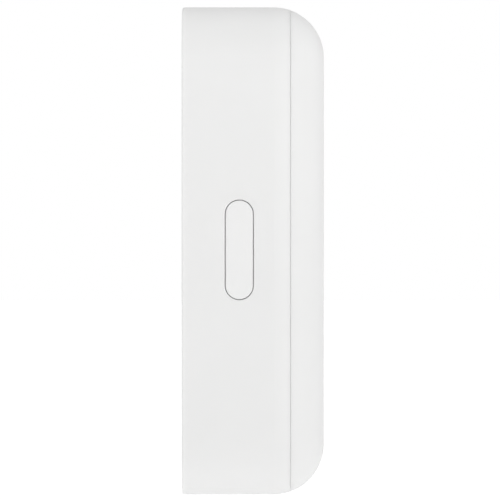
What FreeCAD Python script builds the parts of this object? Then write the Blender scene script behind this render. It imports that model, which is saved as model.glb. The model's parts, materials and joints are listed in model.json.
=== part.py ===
"""A battery video doorbell on a wall rail, as a parametric document.

X runs across the doorbell and Z up it. The wall is the plane y = 0 and the front faces -Y, so a depth is a
distance from the wall towards the front. The origin is on the wall, behind the middle of the body.
"""

import FreeCAD, Part
import os
import re

import Sketcher
from FreeCAD import Placement, Rotation, Vector

# Every size that can be set by itself, in millimetres. Heights (_z) are from the middle of the body.
SIZES = {
    # the outer form
    "body_width": 60.0,
    "body_height": 120.0,
    "front_space": 8.1,
    "corner_radius": 13.4,
    "front_radius": 12.4,
    "seam_from_front": 8.35,
    "seam_round": 0.15,
    "rim_round": 0.6,
    "housing_wall": 2.6,
    "cover_wall": 2.6,
    "edge_break": 0.2,
    # the rail that the doorbell slides down onto
    "rail_mouth": 31.0,
    "rail_floor": 35.4,
    "rail_depth": 3.75,
    "rail_stop_z": 44.4,
    "rail_gap": 0.2,
    "foot_width": 13.0,
    "foot_thickness": 2.2,
    "foot_reach": 12.6,
    "lock_depth": 8.4,
    "lock_radius": 1.5,
    "lock_gap": 0.1,
    "lock_head_radius": 2.8,
    "lock_head_height": 1.5,
    "lock_length": 8.0,
    "wall_hole_radius": 2.25,
    "wall_sink_radius": 4.3,
    "wall_sink_depth": 2.2,
    "wall_hole_spacing": 60.0,
    "wall_hole_middle_z": -14.0,
    "wire_width": 18.0,
    "wire_height": 11.0,
    "wire_round": 2.5,
    "pocket_depth": 11.4,
    "pocket_wall": 1.8,
    "terminal_spacing": 10.6,
    "terminal_radius": 2.9,
    "terminal_height": 1.8,
    "terminal_base": 3.0,
    # the label on the floor of the rail channel
    "label_width": 24.0,
    "label_height": 34.0,
    "label_thickness": 0.15,
    "label_z": -10.0,
    # the screws that hold the cover on
    "post_wall_gap_x": 5.8,
    "post_wall_gap_z": 6.5,
    "post_radius": 3.0,
    "post_below_seam": 5.0,
    "post_floor_below_seam": 13.5,
    "screw_radius": 1.1,
    "screw_gap": 0.1,
    "screw_head_radius": 2.2,
    "screw_head_height": 1.5,
    "screw_length": 14.0,
    "counterbore_radius": 2.6,
    # the tongue, groove and seal of the seam
    "groove_inset": 0.9,
    "groove_width": 0.9,
    "groove_depth": 1.6,
    "tongue_height": 0.8,
    "tongue_gap": 0.1,
    # the button on the side
    "side_depth": 14.05,
    "side_z": 0.25,
    "side_width": 7.0,
    "side_height": 24.4,
    "side_gap": 0.15,
    "side_flange": 1.0,
    "side_flange_thickness": 1.0,
    "side_clearance": 0.1,
    "side_travel": 0.5,
    "side_stem_radius": 1.5,
    "side_stem_length": 1.5,
    "side_frame_width": 13.0,
    "side_frame_height": 32.4,
    "side_frame_thickness": 1.0,
    "side_guide": 2.6,
    "side_seal_width": 1.0,
    "side_leg": 2.0,
    "side_board_width": 9.0,
    "side_board_height": 21.0,
    "board_thickness": 1.0,
    "ribbon_x": -6.2,
    "ribbon_width": 7.0,
    "lead_width": 2.4,
    "lead_thickness": 0.9,
    "switch_size": 6.0,
    "switch_height": 3.0,
    "plunger_radius": 1.7,
    "plunger_height": 0.8,
    "plunger_gap": 0.15,
    "switch_gap": 0.1,
    # the window, the camera and the motion sensor behind the front
    "panel_width": 28.0,
    "panel_height": 54.0,
    "mic_to_panel": 2.4,
    "panel_gap": 0.1,
    "window_thickness": 1.6,
    "mask_thickness": 0.15,
    "print_gap": 0.02,
    "lens_aperture": 7.6,
    "mask_aperture": 6.6,
    "infrared_circle": 10.6,
    "infrared_radius": 1.5,
    "sensor_hole_radius": 1.2,
    "sensor_above_motion": 11.2,
    "motion_radius": 7.3,
    "motion_flange": 1.4,
    "motion_wall": 0.8,
    "motion_recess": 0.25,
    "motion_can_radius": 4.5,
    "motion_can_height": 3.6,
    "camera_board_width": 22.0,
    "camera_board_height": 16.0,
    "camera_from_front": 16.9,
    "camera_post_radius": 1.9,
    "chip_width": 9.0,
    "chip_height": 7.6,
    "chip_thickness": 1.1,
    "holder_width": 14.0,
    "holder_height": 6.4,
    "holder_wall": 1.2,
    "barrel_radius": 5.4,
    "barrel_gap": 0.05,
    "barrel_length": 8.6,
    "barrel_cap_radius": 6.8,
    "barrel_cap_height": 2.2,
    "lens_radius": 4.4,
    "lens_dome": 1.2,
    "filter_thickness": 0.4,
    # the bell button and its ring of light
    "slots_to_ring": 5.3,
    "bell_radius": 11.5,
    "bell_gap": 0.35,
    "bell_recess": 0.3,
    "bell_dish": 0.5,
    "bell_cap_thickness": 2.0,
    "bell_skirt": 1.2,
    "bell_flange": 0.8,
    "bell_switch_height": 1.9,
    "bell_travel": 0.7,
    "bell_stem_radius": 2.2,
    "ring_width": 1.75,
    "ring_gap": 0.08,
    "ring_height": 5.6,
    "ring_step": 2.8,
    "ring_flange": 0.8,
    "ring_flange_height": 1.0,
    "ring_seat_wall": 1.2,
    "membrane_thickness": 0.4,
    # sound
    "slot_width": 1.3,
    "slot_height": 3.0,
    "slot_pitch": 2.7,
    "slot_z": -46.4,
    "mic_hole_radius": 0.5,
    "ring_to_mic": 2.5,
    "mic_width": 3.6,
    "mic_height": 2.4,
    "mic_thickness": 1.1,
    "speaker_width": 28.0,
    "speaker_height": 11.0,
    "speaker_depth": 5.0,
    "speaker_from_front": 6.7,
    "speaker_below_slots": 2.8,
    "speaker_rim": 1.5,
    # the main board and what is on it
    "board_gap": 0.45,
    "main_board_side_gap": 6.0,
    "board_above_sensor": 1.8,
    "main_board_bottom": -41.8,
    "main_board_thickness": 1.2,
    "board_post_radius": 2.0,
    "board_post_inset_x": 2.2,
    "board_post_inset_z": 3.0,
    "board_screw_radius": 0.8,
    "board_screw_length": 5.0,
    "board_screw_head": 1.6,
    "board_screw_head_height": 0.9,
    "socket_gap": 0.8,
    "socket_z": -32.0,
    # the battery
    "cell_radius": 9.15,
    "cell_length": 65.0,
    "cell_bottom": -43.6,
    "cell_pitch": 18.6,
    "cell_nub_radius": 2.8,
    "cell_nub_height": 1.0,
    "cradle_gap": 0.15,
    "cradle_base": 0.45,
    "cradle_rise": 5.6,
    "tab_thickness": 0.3,
    # the charging port and its cover
    "port_depth": 17.5,
    "port_width": 9.4,
    "port_height": 3.6,
    "flap_width": 13.6,
    "flap_depth": 7.0,
    "flap_thickness": 1.2,
    "flap_gap": 0.15,
    "flap_tail": 3.0,
    "flap_corner": 1.8,
    "flap_plug_width": 7.4,
    "flap_plug_depth": 2.6,
    "flap_plug_height": 1.0,
    "socket_width": 8.9,
    "socket_height": 3.2,
    "socket_length": 7.3,
    "socket_wall": 0.3,
}

# Formulas that several sub-parts share. The depth is what the pieces stacked from wall to front add up to.
DEPTH = (
    "(rail_depth + housing_wall + cradle_base + 2*cell_radius"
    " + board_gap + main_board_thickness + front_space)"
)
SEAM = f"({DEPTH} - seam_from_front)"
RING_OUTER = "(bell_radius + bell_gap + ring_width)"
RING_SEAT = f"({RING_OUTER} + ring_flange + ring_seat_wall)"
# Up the front from the speaker's slots: the bell, the microphone, the window and what is behind it.
SPEAKER_Z = "(slot_z - speaker_below_slots)"
BELL_Z = f"(slot_z + slots_to_ring + {RING_OUTER})"
MIC_Z = f"({BELL_Z} + {RING_OUTER} + ring_to_mic)"
PANEL_Z = f"({MIC_Z} + mic_to_panel + panel_height/2)"
LENS_Z = f"({PANEL_Z} + panel_height/2 - panel_width/2)"
MOTION_Z = f"({PANEL_Z} - panel_height/2 + panel_width/2)"
SENSOR_Z = f"({MOTION_Z} + sensor_above_motion)"
MAIN_TOP = f"({SENSOR_Z} + board_above_sensor)"
PANEL_RECESS = "(window_thickness + print_gap + mask_thickness)"
COVER_INSIDE = f"({DEPTH} - cover_wall)"
LEDGE_FRONT = f"({DEPTH} - {PANEL_RECESS})"
HALF_WIDTH = "(body_width/2)"
FLOOR_Z = "(-body_height/2)"
CHANNEL_FLOOR = "(rail_depth + housing_wall)"
# Depth of the curved front edge's centre, and how far the outline has drawn in at the seam.
CURVE_DEPTH = f"({DEPTH} - front_radius)"
SEAM_INSET = f"(front_radius - sqrt(front_radius^2 - ({SEAM} - {CURVE_DEPTH})^2))"
# Distances inwards from the side face that holds the side button.
SIDE_FLANGE_AT = "(housing_wall + side_clearance)"
SIDE_FRAME_AT = f"({SIDE_FLANGE_AT} + side_flange_thickness + side_travel + side_clearance)"
SIDE_STEM_END = f"({SIDE_FLANGE_AT} + side_flange_thickness + side_stem_length)"
SIDE_SWITCH_AT = f"({SIDE_STEM_END} + plunger_height)"
SIDE_BOARD_AT = f"({SIDE_SWITCH_AT} + switch_height)"
POST_X = "(body_width/2 - housing_wall - post_wall_gap_x)"
POST_Z = "(body_height/2 - housing_wall - post_wall_gap_z)"
POST_TOP = f"({SEAM} - post_below_seam)"
POST_FLOOR = f"({SEAM} - post_floor_below_seam)"
MAIN_FRONT = f"({DEPTH} - front_space)"
MAIN_BACK = f"({MAIN_FRONT} - main_board_thickness)"
MAIN_WIDTH = "(body_width - 2*main_board_side_gap)"
MAIN_MIDDLE_Z = f"(({MAIN_TOP} + main_board_bottom)/2)"
MAIN_HEIGHT = f"({MAIN_TOP} - main_board_bottom)"
GUARD_BOTTOM = "(cell_bottom - 0.05 - tab_thickness - 0.8)"
CAMERA_BACK = f"({DEPTH} - camera_from_front)"
CAMERA_FRONT = f"({CAMERA_BACK} + board_thickness)"
CAMERA_POST_X = "(camera_board_width/2 - 2)"
CELL_DEPTH = f"({CHANNEL_FLOOR} + cradle_base + cell_radius)"
SPEAKER_FRONT = f"({DEPTH} - speaker_from_front)"
BELL_SWITCH_TOP = f"({MAIN_FRONT} + bell_switch_height)"
SEAT_DEPTH = f"({DEPTH} - ring_height + ring_flange_height)"
LAMP_BOARD_BACK = f"({COVER_INSIDE} - 2.6)"
LAMP_BOARD_FRONT = f"({LAMP_BOARD_BACK} + board_thickness*0.8)"

SLOTS = 9
LED_COUNT = 8
FORWARD = Rotation(Vector(1, 0, 0), 90)
SIDEWAYS = Rotation(Vector(0, 1, 0), 90)
UPRIGHT = Rotation()

doc = FreeCAD.newDocument("video_doorbell")
sheet = doc.addObject("Spreadsheet::Sheet", "sizes")
for row, (alias, size) in enumerate(SIZES.items(), 1):
    sheet.set(f"A{row}", alias)
    sheet.set(f"B{row}", str(size))
    sheet.setAlias(f"B{row}", alias)
doc.recompute()

sub_parts = []


def cells(formula):
    """The formula with each size's name pointed at its cell in the sheet."""
    return re.sub(r"[a-z_]+", lambda w: f"sizes.{w.group()}" if w.group() in SIZES else w.group(), formula)


def number(formula):
    """What the formula comes to, used only to draw a sketch near its final shape."""
    return float(sheet.evalExpression(cells(formula)))


def bind(thing, **formulas):
    """Binds the thing's properties to the sheet."""
    for name, formula in formulas.items():
        thing.setExpression(name, cells(formula))
    return thing


def place(thing, x, y, z, rotation=UPRIGHT):
    """Turns the thing and binds its place to the sheet."""
    thing.Placement = Placement(Vector(), rotation)
    for axis, formula in zip("xyz", (x, y, z)):
        thing.setExpression(f"Placement.Base.{axis}", cells(formula))
    return thing


def sub_part(label, thing):
    """Names a finished sub-part; the label names its file."""
    thing.Label = label
    sub_parts.append(thing)
    return thing


# ---- Part workbench shapes ----


def block(name, width, depth, height, x="0", back="0", z="0"):
    """A box that starts at the depth back, centred on x and z."""
    box = doc.addObject("Part::Box", name)
    bind(box, Length=width, Width=depth, Height=height)
    return place(box, f"({x}) - ({width})/2", f"-({back}) - ({depth})", f"({z}) - ({height})/2")


def rod(name, radius, length, x="0", back="0", z="0", rotation=FORWARD):
    """A cylinder that starts at (x, -back, z) and runs to the front, or the way rotation turns Z."""
    cylinder = doc.addObject("Part::Cylinder", name)
    bind(cylinder, Radius=radius, Height=length)
    return place(cylinder, x, f"-({back})", z, rotation)


def cone(name, start, end, length, x="0", back="0", z="0", rotation=FORWARD):
    """A cone frustum from radius start to radius end, placed as a rod is."""
    frustum = doc.addObject("Part::Cone", name)
    bind(frustum, Radius1=start, Radius2=end, Height=length)
    return place(frustum, x, f"-({back})", z, rotation)


def fuse(name, *things):
    """The things joined into one, or the thing itself if it is alone."""
    if len(things) == 1:
        return things[0]
    joined = doc.addObject("Part::MultiFuse", name)
    joined.Shapes = list(things)
    return joined


def cut(name, base, *tools):
    """The base with the tools taken out of it."""
    result = doc.addObject("Part::Cut", name)
    result.Base = base
    result.Tool = fuse(f"{name}_tools", *tools)
    return result


def group(name, *things):
    """Separate solids kept together as one sub-part."""
    compound = doc.addObject("Part::Compound", name)
    compound.Links = list(things)
    return compound


def soften(name, base, radius, chosen):
    """Rounds the base's edges that chosen(edge) picks."""
    doc.recompute()
    size = number(radius)
    rounded = doc.addObject("Part::Fillet", name)
    rounded.Base = base
    rounded.Edges = [(i, size, size) for i, edge in enumerate(base.Shape.Edges, 1) if chosen(edge)]
    return rounded


def lies_at(edge, axis, value, tolerance=1e-4):
    """True if the whole edge lies where that coordinate has that value."""
    box = edge.BoundBox
    low, high = getattr(box, f"{axis}Min"), getattr(box, f"{axis}Max")
    return abs(low - value) < tolerance and abs(high - value) < tolerance


def is_upright(edge):
    """True if the edge runs straight up."""
    box = edge.BoundBox
    return box.ZLength > 0.1 and max(box.XLength, box.YLength) < 1e-4


# ---- PartDesign bodies ----


def new_sketch(body, name, plane="XZ_Plane", offset="0"):
    """A sketch on one of the body's planes, moved along its normal. On XZ the normal is the front."""
    sketch = body.newObject("Sketcher::SketchObject", name)
    origin_plane = next(f for f in body.Origin.OriginFeatures if f.Role == plane)
    sketch.AttachmentSupport = [(origin_plane, "")]
    sketch.MapMode = "FlatFace"
    sketch.setExpression("AttachmentOffset.Base.z", cells(offset))
    return sketch


def dimension(sketch, kind, where, formula):
    """Adds a dimension and binds it to the sheet."""
    index = sketch.addConstraint(Sketcher.Constraint(kind, *where, number(formula)))
    sketch.setExpression(f"Constraints[{index}]", cells(formula))


def locate(sketch, shape, point, x, y):
    """Ties a point of the sketch to its place from the sketch's origin."""
    dimension(sketch, "DistanceX", (-1, 1, shape, point), x)
    dimension(sketch, "DistanceY", (-1, 1, shape, point), y)


def arc(x, y, radius, start, end):
    """An arc between two angles given in quarter turns."""
    quarter = 1.5707963267948966
    circle = Part.Circle(Vector(x, y, 0), Vector(0, 0, 1), radius)
    return Part.ArcOfCircle(circle, start * quarter, end * quarter)


def join_with_tangent_lines(sketch, first, count, corners):
    """Closes the arcs first to first + count - 1 into a loop with a line between each and the next."""
    for i in range(count):
        end, start = corners[i][1], corners[(i + 1) % count][0]
        sketch.addGeometry(Part.LineSegment(end, start), False)
    for i in range(count):
        line = first + count + i
        sketch.addConstraint(Sketcher.Constraint("Tangent", first + i, 2, line, 1))
        sketch.addConstraint(Sketcher.Constraint("Tangent", line, 2, first + (i + 1) % count, 1))


def rounded_rectangle(sketch, width, height, radius, x="0", y="0"):
    """A rectangle with round corners, centred on x and y."""
    first = sketch.GeometryCount
    w, h, r, cx, cy = (number(f) for f in (width, height, radius, x, y))
    corners = []
    for i, (side, end) in enumerate(((1, 1), (-1, 1), (-1, -1), (1, -1))):
        shape = arc(cx + side * (w / 2 - r), cy + end * (h / 2 - r), r, i, i + 1)
        sketch.addGeometry(shape, False)
        corners.append((shape.StartPoint, shape.EndPoint))
    join_with_tangent_lines(sketch, first, 4, corners)
    for i, direction in enumerate(("Horizontal", "Vertical") * 2):
        sketch.addConstraint(Sketcher.Constraint(direction, first + 4 + i))
    for i in (1, 2, 3):
        sketch.addConstraint(Sketcher.Constraint("Equal", first, first + i))
    dimension(sketch, "Radius", (first,), radius)
    dimension(sketch, "DistanceX", (first + 2, 3, first, 3), f"({width}) - 2*({radius})")
    dimension(sketch, "DistanceY", (first + 2, 3, first, 3), f"({height}) - 2*({radius})")
    locate(sketch, first, 3, f"({x}) + ({width})/2 - ({radius})", f"({y}) + ({height})/2 - ({radius})")


def pill(sketch, width, height, x="0", y="0"):
    """An upright slot with half-round ends, centred on x and y."""
    first = sketch.GeometryCount
    w, h, cx, cy = (number(f) for f in (width, height, x, y))
    corners = []
    for end, start in ((1, 0), (-1, 2)):
        shape = arc(cx, cy + end * (h - w) / 2, w / 2, start, start + 2)
        sketch.addGeometry(shape, False)
        corners.append((shape.StartPoint, shape.EndPoint))
    join_with_tangent_lines(sketch, first, 2, corners)
    sketch.addConstraint(Sketcher.Constraint("Equal", first, first + 1))
    sketch.addConstraint(Sketcher.Constraint("Vertical", first + 2))
    dimension(sketch, "Radius", (first,), f"({width})/2")
    dimension(sketch, "DistanceY", (first + 1, 3, first, 3), f"({height}) - ({width})")
    locate(sketch, first, 3, x, f"({y}) + ({height})/2 - ({width})/2")


def circle(sketch, radius, x="0", y="0"):
    """A circle centred on x and y."""
    shape = sketch.addGeometry(
        Part.Circle(Vector(number(x), number(y), 0), Vector(0, 0, 1), number(radius)), False
    )
    dimension(sketch, "Radius", (shape,), radius)
    locate(sketch, shape, 3, x, y)


def polygon(sketch, points):
    """A closed outline through the points, each tied to its place."""
    first = sketch.GeometryCount
    at = [Vector(number(x), number(y), 0) for x, y in points]
    for i, point in enumerate(at):
        sketch.addGeometry(Part.LineSegment(point, at[(i + 1) % len(at)]), False)
    for i, (x, y) in enumerate(points):
        following = first + (i + 1) % len(at)
        sketch.addConstraint(Sketcher.Constraint("Coincident", first + i, 2, following, 1))
        locate(sketch, first + i, 1, x, y)


def pad(body, sketch, length):
    """Adds the sketch's outline, made solid along its plane's normal."""
    doc.recompute()
    feature = body.newObject("PartDesign::Pad", f"{body.Name}_pad")
    feature.Profile = sketch
    return bind(feature, Length=length)


def pocket(body, sketch, length, towards_normal=True):
    """Takes the sketch's outline out of the body."""
    doc.recompute()
    before = body.Shape.Volume
    feature = body.newObject("PartDesign::Pocket", f"{body.Name}_pocket")
    feature.Profile = sketch
    feature.Reversed = towards_normal
    bind(feature, Length=length)
    doc.recompute()
    if body.Shape.Volume > before - 1e-6:
        raise RuntimeError(f"{body.Name}: the pocket {feature.Name} cuts nothing")
    return feature


def dress(body, kind, formula, chosen):
    """A PartDesign Fillet or Chamfer on the body's edges that chosen(edge) picks."""
    doc.recompute()
    base = body.Tip
    names = [f"Edge{i}" for i, edge in enumerate(base.Shape.Edges, 1) if chosen(edge)]
    feature = body.newObject(f"PartDesign::{kind}", f"{body.Name}_{kind.lower()}")
    feature.Base = (base, names)
    return bind(feature, **{"Radius" if kind == "Fillet" else "Size": formula})


def plate(name, draw, back, thickness, plane="XZ_Plane"):
    """A body padded from one sketch, which draw(sketch) fills, starting at the distance back."""
    body = doc.addObject("PartDesign::Body", name)
    sketch = new_sketch(body, f"{name}_outline", plane, back)
    draw(sketch)
    pad(body, sketch, thickness)
    return body


def turned(name, profile, x="0", back="0", z="0", rotation=FORWARD):
    """A body turned about its own Z from (radius, height) points, then placed as a rod is."""
    body = doc.addObject("PartDesign::Body", name)
    sketch = new_sketch(body, f"{name}_profile")
    polygon(sketch, profile)
    doc.recompute()
    feature = body.newObject("PartDesign::Revolution", f"{name}_turned")
    feature.Profile = sketch
    feature.ReferenceAxis = (sketch, ["V_Axis"])
    feature.Angle = 360
    return place(body, x, f"-({back})", z, rotation)


# ---- the shells ----


def form(name, inset, start):
    """The outer form drawn in by inset all round and at the front, from the depth start forwards."""

    def outline(sketch):
        rounded_rectangle(
            sketch, f"body_width - 2*{inset}", f"body_height - 2*{inset}", f"corner_radius - {inset}"
        )

    body = plate(name, outline, start, f"{DEPTH} - {inset} - {start}")
    front = -number(f"{DEPTH} - {inset}")
    dress(body, "Fillet", f"front_radius - {inset}", lambda edge: lies_at(edge, "Y", front))
    return body


def trim(body, start, length):
    """Takes everything between two depths off a form."""
    sketch = new_sketch(body, f"{body.Name}_trim", offset=start)
    rounded_rectangle(sketch, "body_width + 2", "body_height + 2", "corner_radius")
    pocket(body, sketch, length)


def at_corners(make, x, z):
    """What make(name, x, z) returns at each of four corners placed evenly about the middle."""
    signs = [(side, end) for side in (1, -1) for end in (1, -1)]
    return [make(str(i), f"{side}*({x})", f"{end}*({z})") for i, (side, end) in enumerate(signs)]


def rail_outline(sketch, gap):
    """The dovetail seen from above: narrow at the wall, wide at the channel's floor. Drawn on XY."""
    depth = f"-(rail_depth - {gap})"
    mouth, floor = f"(rail_mouth/2 - {gap})", f"(rail_floor/2 - {gap})"
    polygon(sketch, [(f"-{mouth}", "0"), (mouth, "0"), (floor, depth), (f"-{floor}", depth)])


def board_post_places():
    """(x, z) of the main board's four posts."""
    top, bottom = f"({MAIN_TOP} - board_post_inset_z)", "(main_board_bottom + board_post_inset_z)"
    return [(f"{side}*({MAIN_WIDTH}/2 - board_post_inset_x)", z) for side in (1, -1) for z in (top, bottom)]


def wire_pocket_size(extra):
    """Width and height of the pocket behind the bracket's wire window, with extra all round."""
    return f"(wire_width + 4 + 2*{extra})", f"(wire_height + 2 + 2*{extra})"


def rear_cavity():
    """The space inside the rear housing, with its posts, bosses and the rail's box left standing."""
    space = form("rear_space", "housing_wall", "housing_wall")
    rail_height = "(rail_stop_z + body_height/2 + housing_wall)"
    middle = f"({FLOOR_Z} + {rail_height}/2)"
    wide, tall = wire_pocket_size("pocket_wall")
    kept = [
        block("kept_rail", "rail_floor + 2*housing_wall", CHANNEL_FLOOR, rail_height, z=middle),
        block("kept_pocket", wide, "pocket_depth + pocket_wall", tall, z=LENS_Z),
        block(
            "kept_lock_boss", "foot_width", "lock_depth + 5", "foot_thickness + lock_length + 2",
            z=f"{FLOOR_Z} + (foot_thickness + lock_length + 2)/2",
        ),
    ]
    kept += at_corners(
        lambda n, x, z: rod(f"kept_post_{n}", "post_radius", POST_TOP, x, "0", z), POST_X, POST_Z
    )
    for i, (x, z) in enumerate(board_post_places()):
        kept.append(rod(f"kept_board_post_{i}", "board_post_radius", MAIN_BACK, x, "0", z))
    kept += at_two_sides(
        lambda n, x: rod(f"kept_camera_post_{n}", "camera_post_radius", CAMERA_BACK, x, "0", LENS_Z)
    )
    kept += side_guides()
    return cut("rear_cavity", space, *kept)


def side_guides():
    """Two grooved blocks on the side wall that the side switch's frame slides into from the front."""
    guides = []
    reach = f"({SIDE_FRAME_AT} + side_frame_thickness + 1.2)"
    for i, end in enumerate(("1", "-1")):
        z = f"(side_z + {end}*(side_frame_height/2 - 1.2 + side_guide/2))"
        deep = "(side_frame_width + 1)"
        back = f"(side_depth - side_frame_width/2 - 1)"
        solid = block(f"guide_{i}", reach, deep, "side_guide", f"-{HALF_WIDTH} + {reach}/2", back, z)
        groove_z = f"(side_z + {end}*(side_frame_height/2 - 1))"
        groove = block(
            f"guide_groove_{i}", "side_frame_thickness + 0.1", deep, "2.1",
            f"-{HALF_WIDTH} + {SIDE_FRAME_AT} + side_frame_thickness/2", f"{back} + 0.95", groove_z,
        )
        guides.append(cut(f"guide_cut_{i}", solid, groove))
    return guides


def rear_openings():
    """Everything cut through the rear housing's walls."""
    channel = doc.addObject("PartDesign::Body", "channel")
    sketch = new_sketch(channel, "channel_outline", "XY_Plane", f"{FLOOR_Z} - 1")
    rail_outline(sketch, "0")
    pad(channel, sketch, "rail_stop_z + body_height/2 + 1")
    wide, tall = wire_pocket_size("0")
    opening_depth = "(housing_wall + 2)"
    button = plate(
        "side_opening", lambda s: pill(s, "side_width", "side_height", "-side_depth", "side_z"),
        f"-{HALF_WIDTH} - 1", f"{opening_depth} + 1", "YZ_Plane",
    )
    flap_space = block(
        "flap_space", "flap_width + flap_tail + 2*flap_gap", "flap_depth + 2*flap_gap",
        "flap_thickness + flap_gap + 1",
        "-flap_tail/2", "port_depth - flap_depth/2 - flap_gap",
        f"{FLOOR_Z} + (flap_thickness + flap_gap - 1)/2",
    )
    tools = [
        channel,
        button,
        block("pocket_space", wide, "pocket_depth", tall, z=LENS_Z),
        block(
            "foot_space", "foot_width + 2*rail_gap", "foot_reach + rail_gap",
            "foot_thickness + rail_gap + 1",
            z=f"{FLOOR_Z} + (foot_thickness + rail_gap - 1)/2",
        ),
        rod(
            "lock_hole", "lock_radius + lock_gap", "foot_thickness + lock_length + 1", "0", "lock_depth",
            FLOOR_Z, UPRIGHT
        ),
        soften("flap_recess", flap_space, "flap_corner + flap_gap", is_upright),
        block(
            "port_space", "port_width", "port_height", "housing_wall + 2", "0",
            "port_depth - port_height/2",
            f"{FLOOR_Z} + housing_wall/2",
        ),
    ]
    tools += at_corners(
        lambda n, x, z: rod(f"counterbore_{n}", "counterbore_radius", POST_FLOOR, x, "0", z), POST_X, POST_Z
    )
    tools += at_corners(
        lambda n, x, z: rod(f"screw_way_{n}", "screw_radius + screw_gap", f"{POST_TOP} + 1", x, "0", z),
        POST_X, POST_Z
    )
    for i, (x, z) in enumerate(board_post_places()):
        start = f"({MAIN_FRONT} - board_screw_length - 0.3)"
        tools.append(
            rod(f"board_pilot_{i}", "board_screw_radius + 0.05", "board_screw_length + 1", x, start, z)
        )
    tools += at_two_sides(
        lambda n, x: rod(f"camera_pilot_{n}", "0.85", "4", x, f"{CAMERA_BACK} - 3", LENS_Z)
    )
    for i, side in enumerate(("1", "-1")):
        x = f"{side}*terminal_spacing/2"
        tools.append(rod(f"terminal_way_{i}", "1.4", "pocket_wall + 2", x, "pocket_depth - 1", LENS_Z))
    return tools


def seam_ring(name, inset, width, start, height):
    """A closed band that follows the seam's outline, drawn in by inset."""

    def outline(sketch):
        for step in (f"({inset})", f"({inset} + {width})"):
            reach = f"({SEAM_INSET} + {step})"
            rounded_rectangle(
                sketch, f"body_width - 2*{reach}", f"body_height - 2*{reach}", f"corner_radius - {reach}"
            )

    return plate(name, outline, start, height)


def rear_housing():
    """The deep rear shell, with the rail channel, the posts and every opening."""
    outer = form("rear_outer", "0", "0")
    trim(outer, SEAM, DEPTH)
    seam, face = -number(SEAM), -number(HALF_WIDTH)
    dress(outer, "Fillet", "seam_round", lambda edge: lies_at(edge, "Y", seam))
    dress(outer, "Fillet", "rim_round", lambda edge: lies_at(edge, "Y", 0))
    groove = seam_ring(
        "rear_groove", "groove_inset", "groove_width", f"{SEAM} - groove_depth", "groove_depth + 1"
    )
    hollow = cut("rear_hollow", outer, rear_cavity(), groove, *rear_openings())
    softened = soften(
        "rear_softened", hollow, "edge_break", lambda e: lies_at(e, "X", face) and is_button_edge(e)
    )
    return sub_part("rear_housing", softened)


def is_button_edge(edge):
    """True if the edge belongs to the side button's opening."""
    middle = edge.BoundBox.Center
    across = abs(middle.y + number("side_depth")) <= number("side_width/2 + 0.1")
    along = abs(middle.z - number("side_z")) <= number("side_height/2 + 0.1")
    return across and along


def cover_cavity():
    """The space inside the front cover, with the screw bosses and the seats left standing."""
    space = form("cover_space", "cover_wall", "0")
    kept = at_corners(
        lambda n, x, z: rod(f"kept_boss_{n}", "post_radius", DEPTH, x, f"{POST_TOP} + screw_gap", z),
        POST_X, POST_Z
    )
    seat_back = f"{SEAT_DEPTH} - ring_flange_height"
    kept.append(rod("kept_ring_seat", RING_SEAT, DEPTH, "0", seat_back, BELL_Z))
    for i, end in enumerate(("1", "-1")):
        z = f"{LENS_Z} + {end}*(infrared_circle + 0.6)"
        kept.append(rod(f"kept_lamp_stand_{i}", "1", DEPTH, "0", LAMP_BOARD_FRONT, z))
    return cut("cover_cavity", space, *kept)


def cover_openings():
    """Everything cut into the front cover."""
    recess = plate(
        "panel_recess", lambda s: pill(s, "panel_width", "panel_height", "0", PANEL_Z), LEDGE_FRONT,
        f"{PANEL_RECESS} + 1"
    )
    lens = rod("lens_way", "lens_aperture", DEPTH, "0", COVER_INSIDE + " - 1", LENS_Z)
    motion = rod("motion_way", "motion_radius + ring_gap", DEPTH, "0", COVER_INSIDE + " - 1", MOTION_Z)
    sensor = rod("sensor_way", "sensor_hole_radius", DEPTH, "0", COVER_INSIDE + " - 1", SENSOR_Z)
    ring = rod("ring_way", f"{RING_OUTER} + ring_gap", DEPTH, "0", SEAM, BELL_Z)
    ring_flange = rod(
        "ring_flange_way", f"{RING_OUTER} + ring_flange + ring_gap", f"{SEAT_DEPTH} - {SEAM}", "0", SEAM,
        BELL_Z
    )
    microphone = rod("mic_way", "mic_hole_radius", DEPTH, "0", COVER_INSIDE + " - 1", MIC_Z)
    boot = block(
        "boot_room", "mic_width + 0.2", f"{COVER_INSIDE} - {SEAM}", "mic_height + 0.2", "0", SEAM, MIC_Z
    )
    tools = [recess, lens, motion, sensor, ring, ring_flange, microphone, boot]
    for i in range(4):
        x, z = infrared_place(i)
        tools.append(rod(f"infrared_way_{i}", "infrared_radius + 0.3", DEPTH, x, COVER_INSIDE + " - 1", z))
    for i in range(SLOTS):
        x = f"{i - SLOTS // 2}*slot_pitch"
        tools.append(
            plate(
                f"slot_{i}", lambda s, x=x: pill(s, "slot_width", "slot_height", x, "slot_z"),
                COVER_INSIDE + " - 2", DEPTH
            )
        )
    tools += at_corners(
        lambda n, x, z: rod(
            f"boss_pilot_{n}", "screw_radius + screw_gap/2", f"{POST_FLOOR} + screw_length - {SEAM} + 0.8",
            x, f"{SEAM} - 0.5", z
        ),
        POST_X, POST_Z,
    )
    return tools


def infrared_place(i):
    """(x, z) of one of the four infrared lamps round the lens."""
    side, end = (1, -1)[i % 2], (1, -1)[i // 2]
    return f"{side}*infrared_circle*0.7071", f"{LENS_Z} + {end}*infrared_circle*0.7071"


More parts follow.
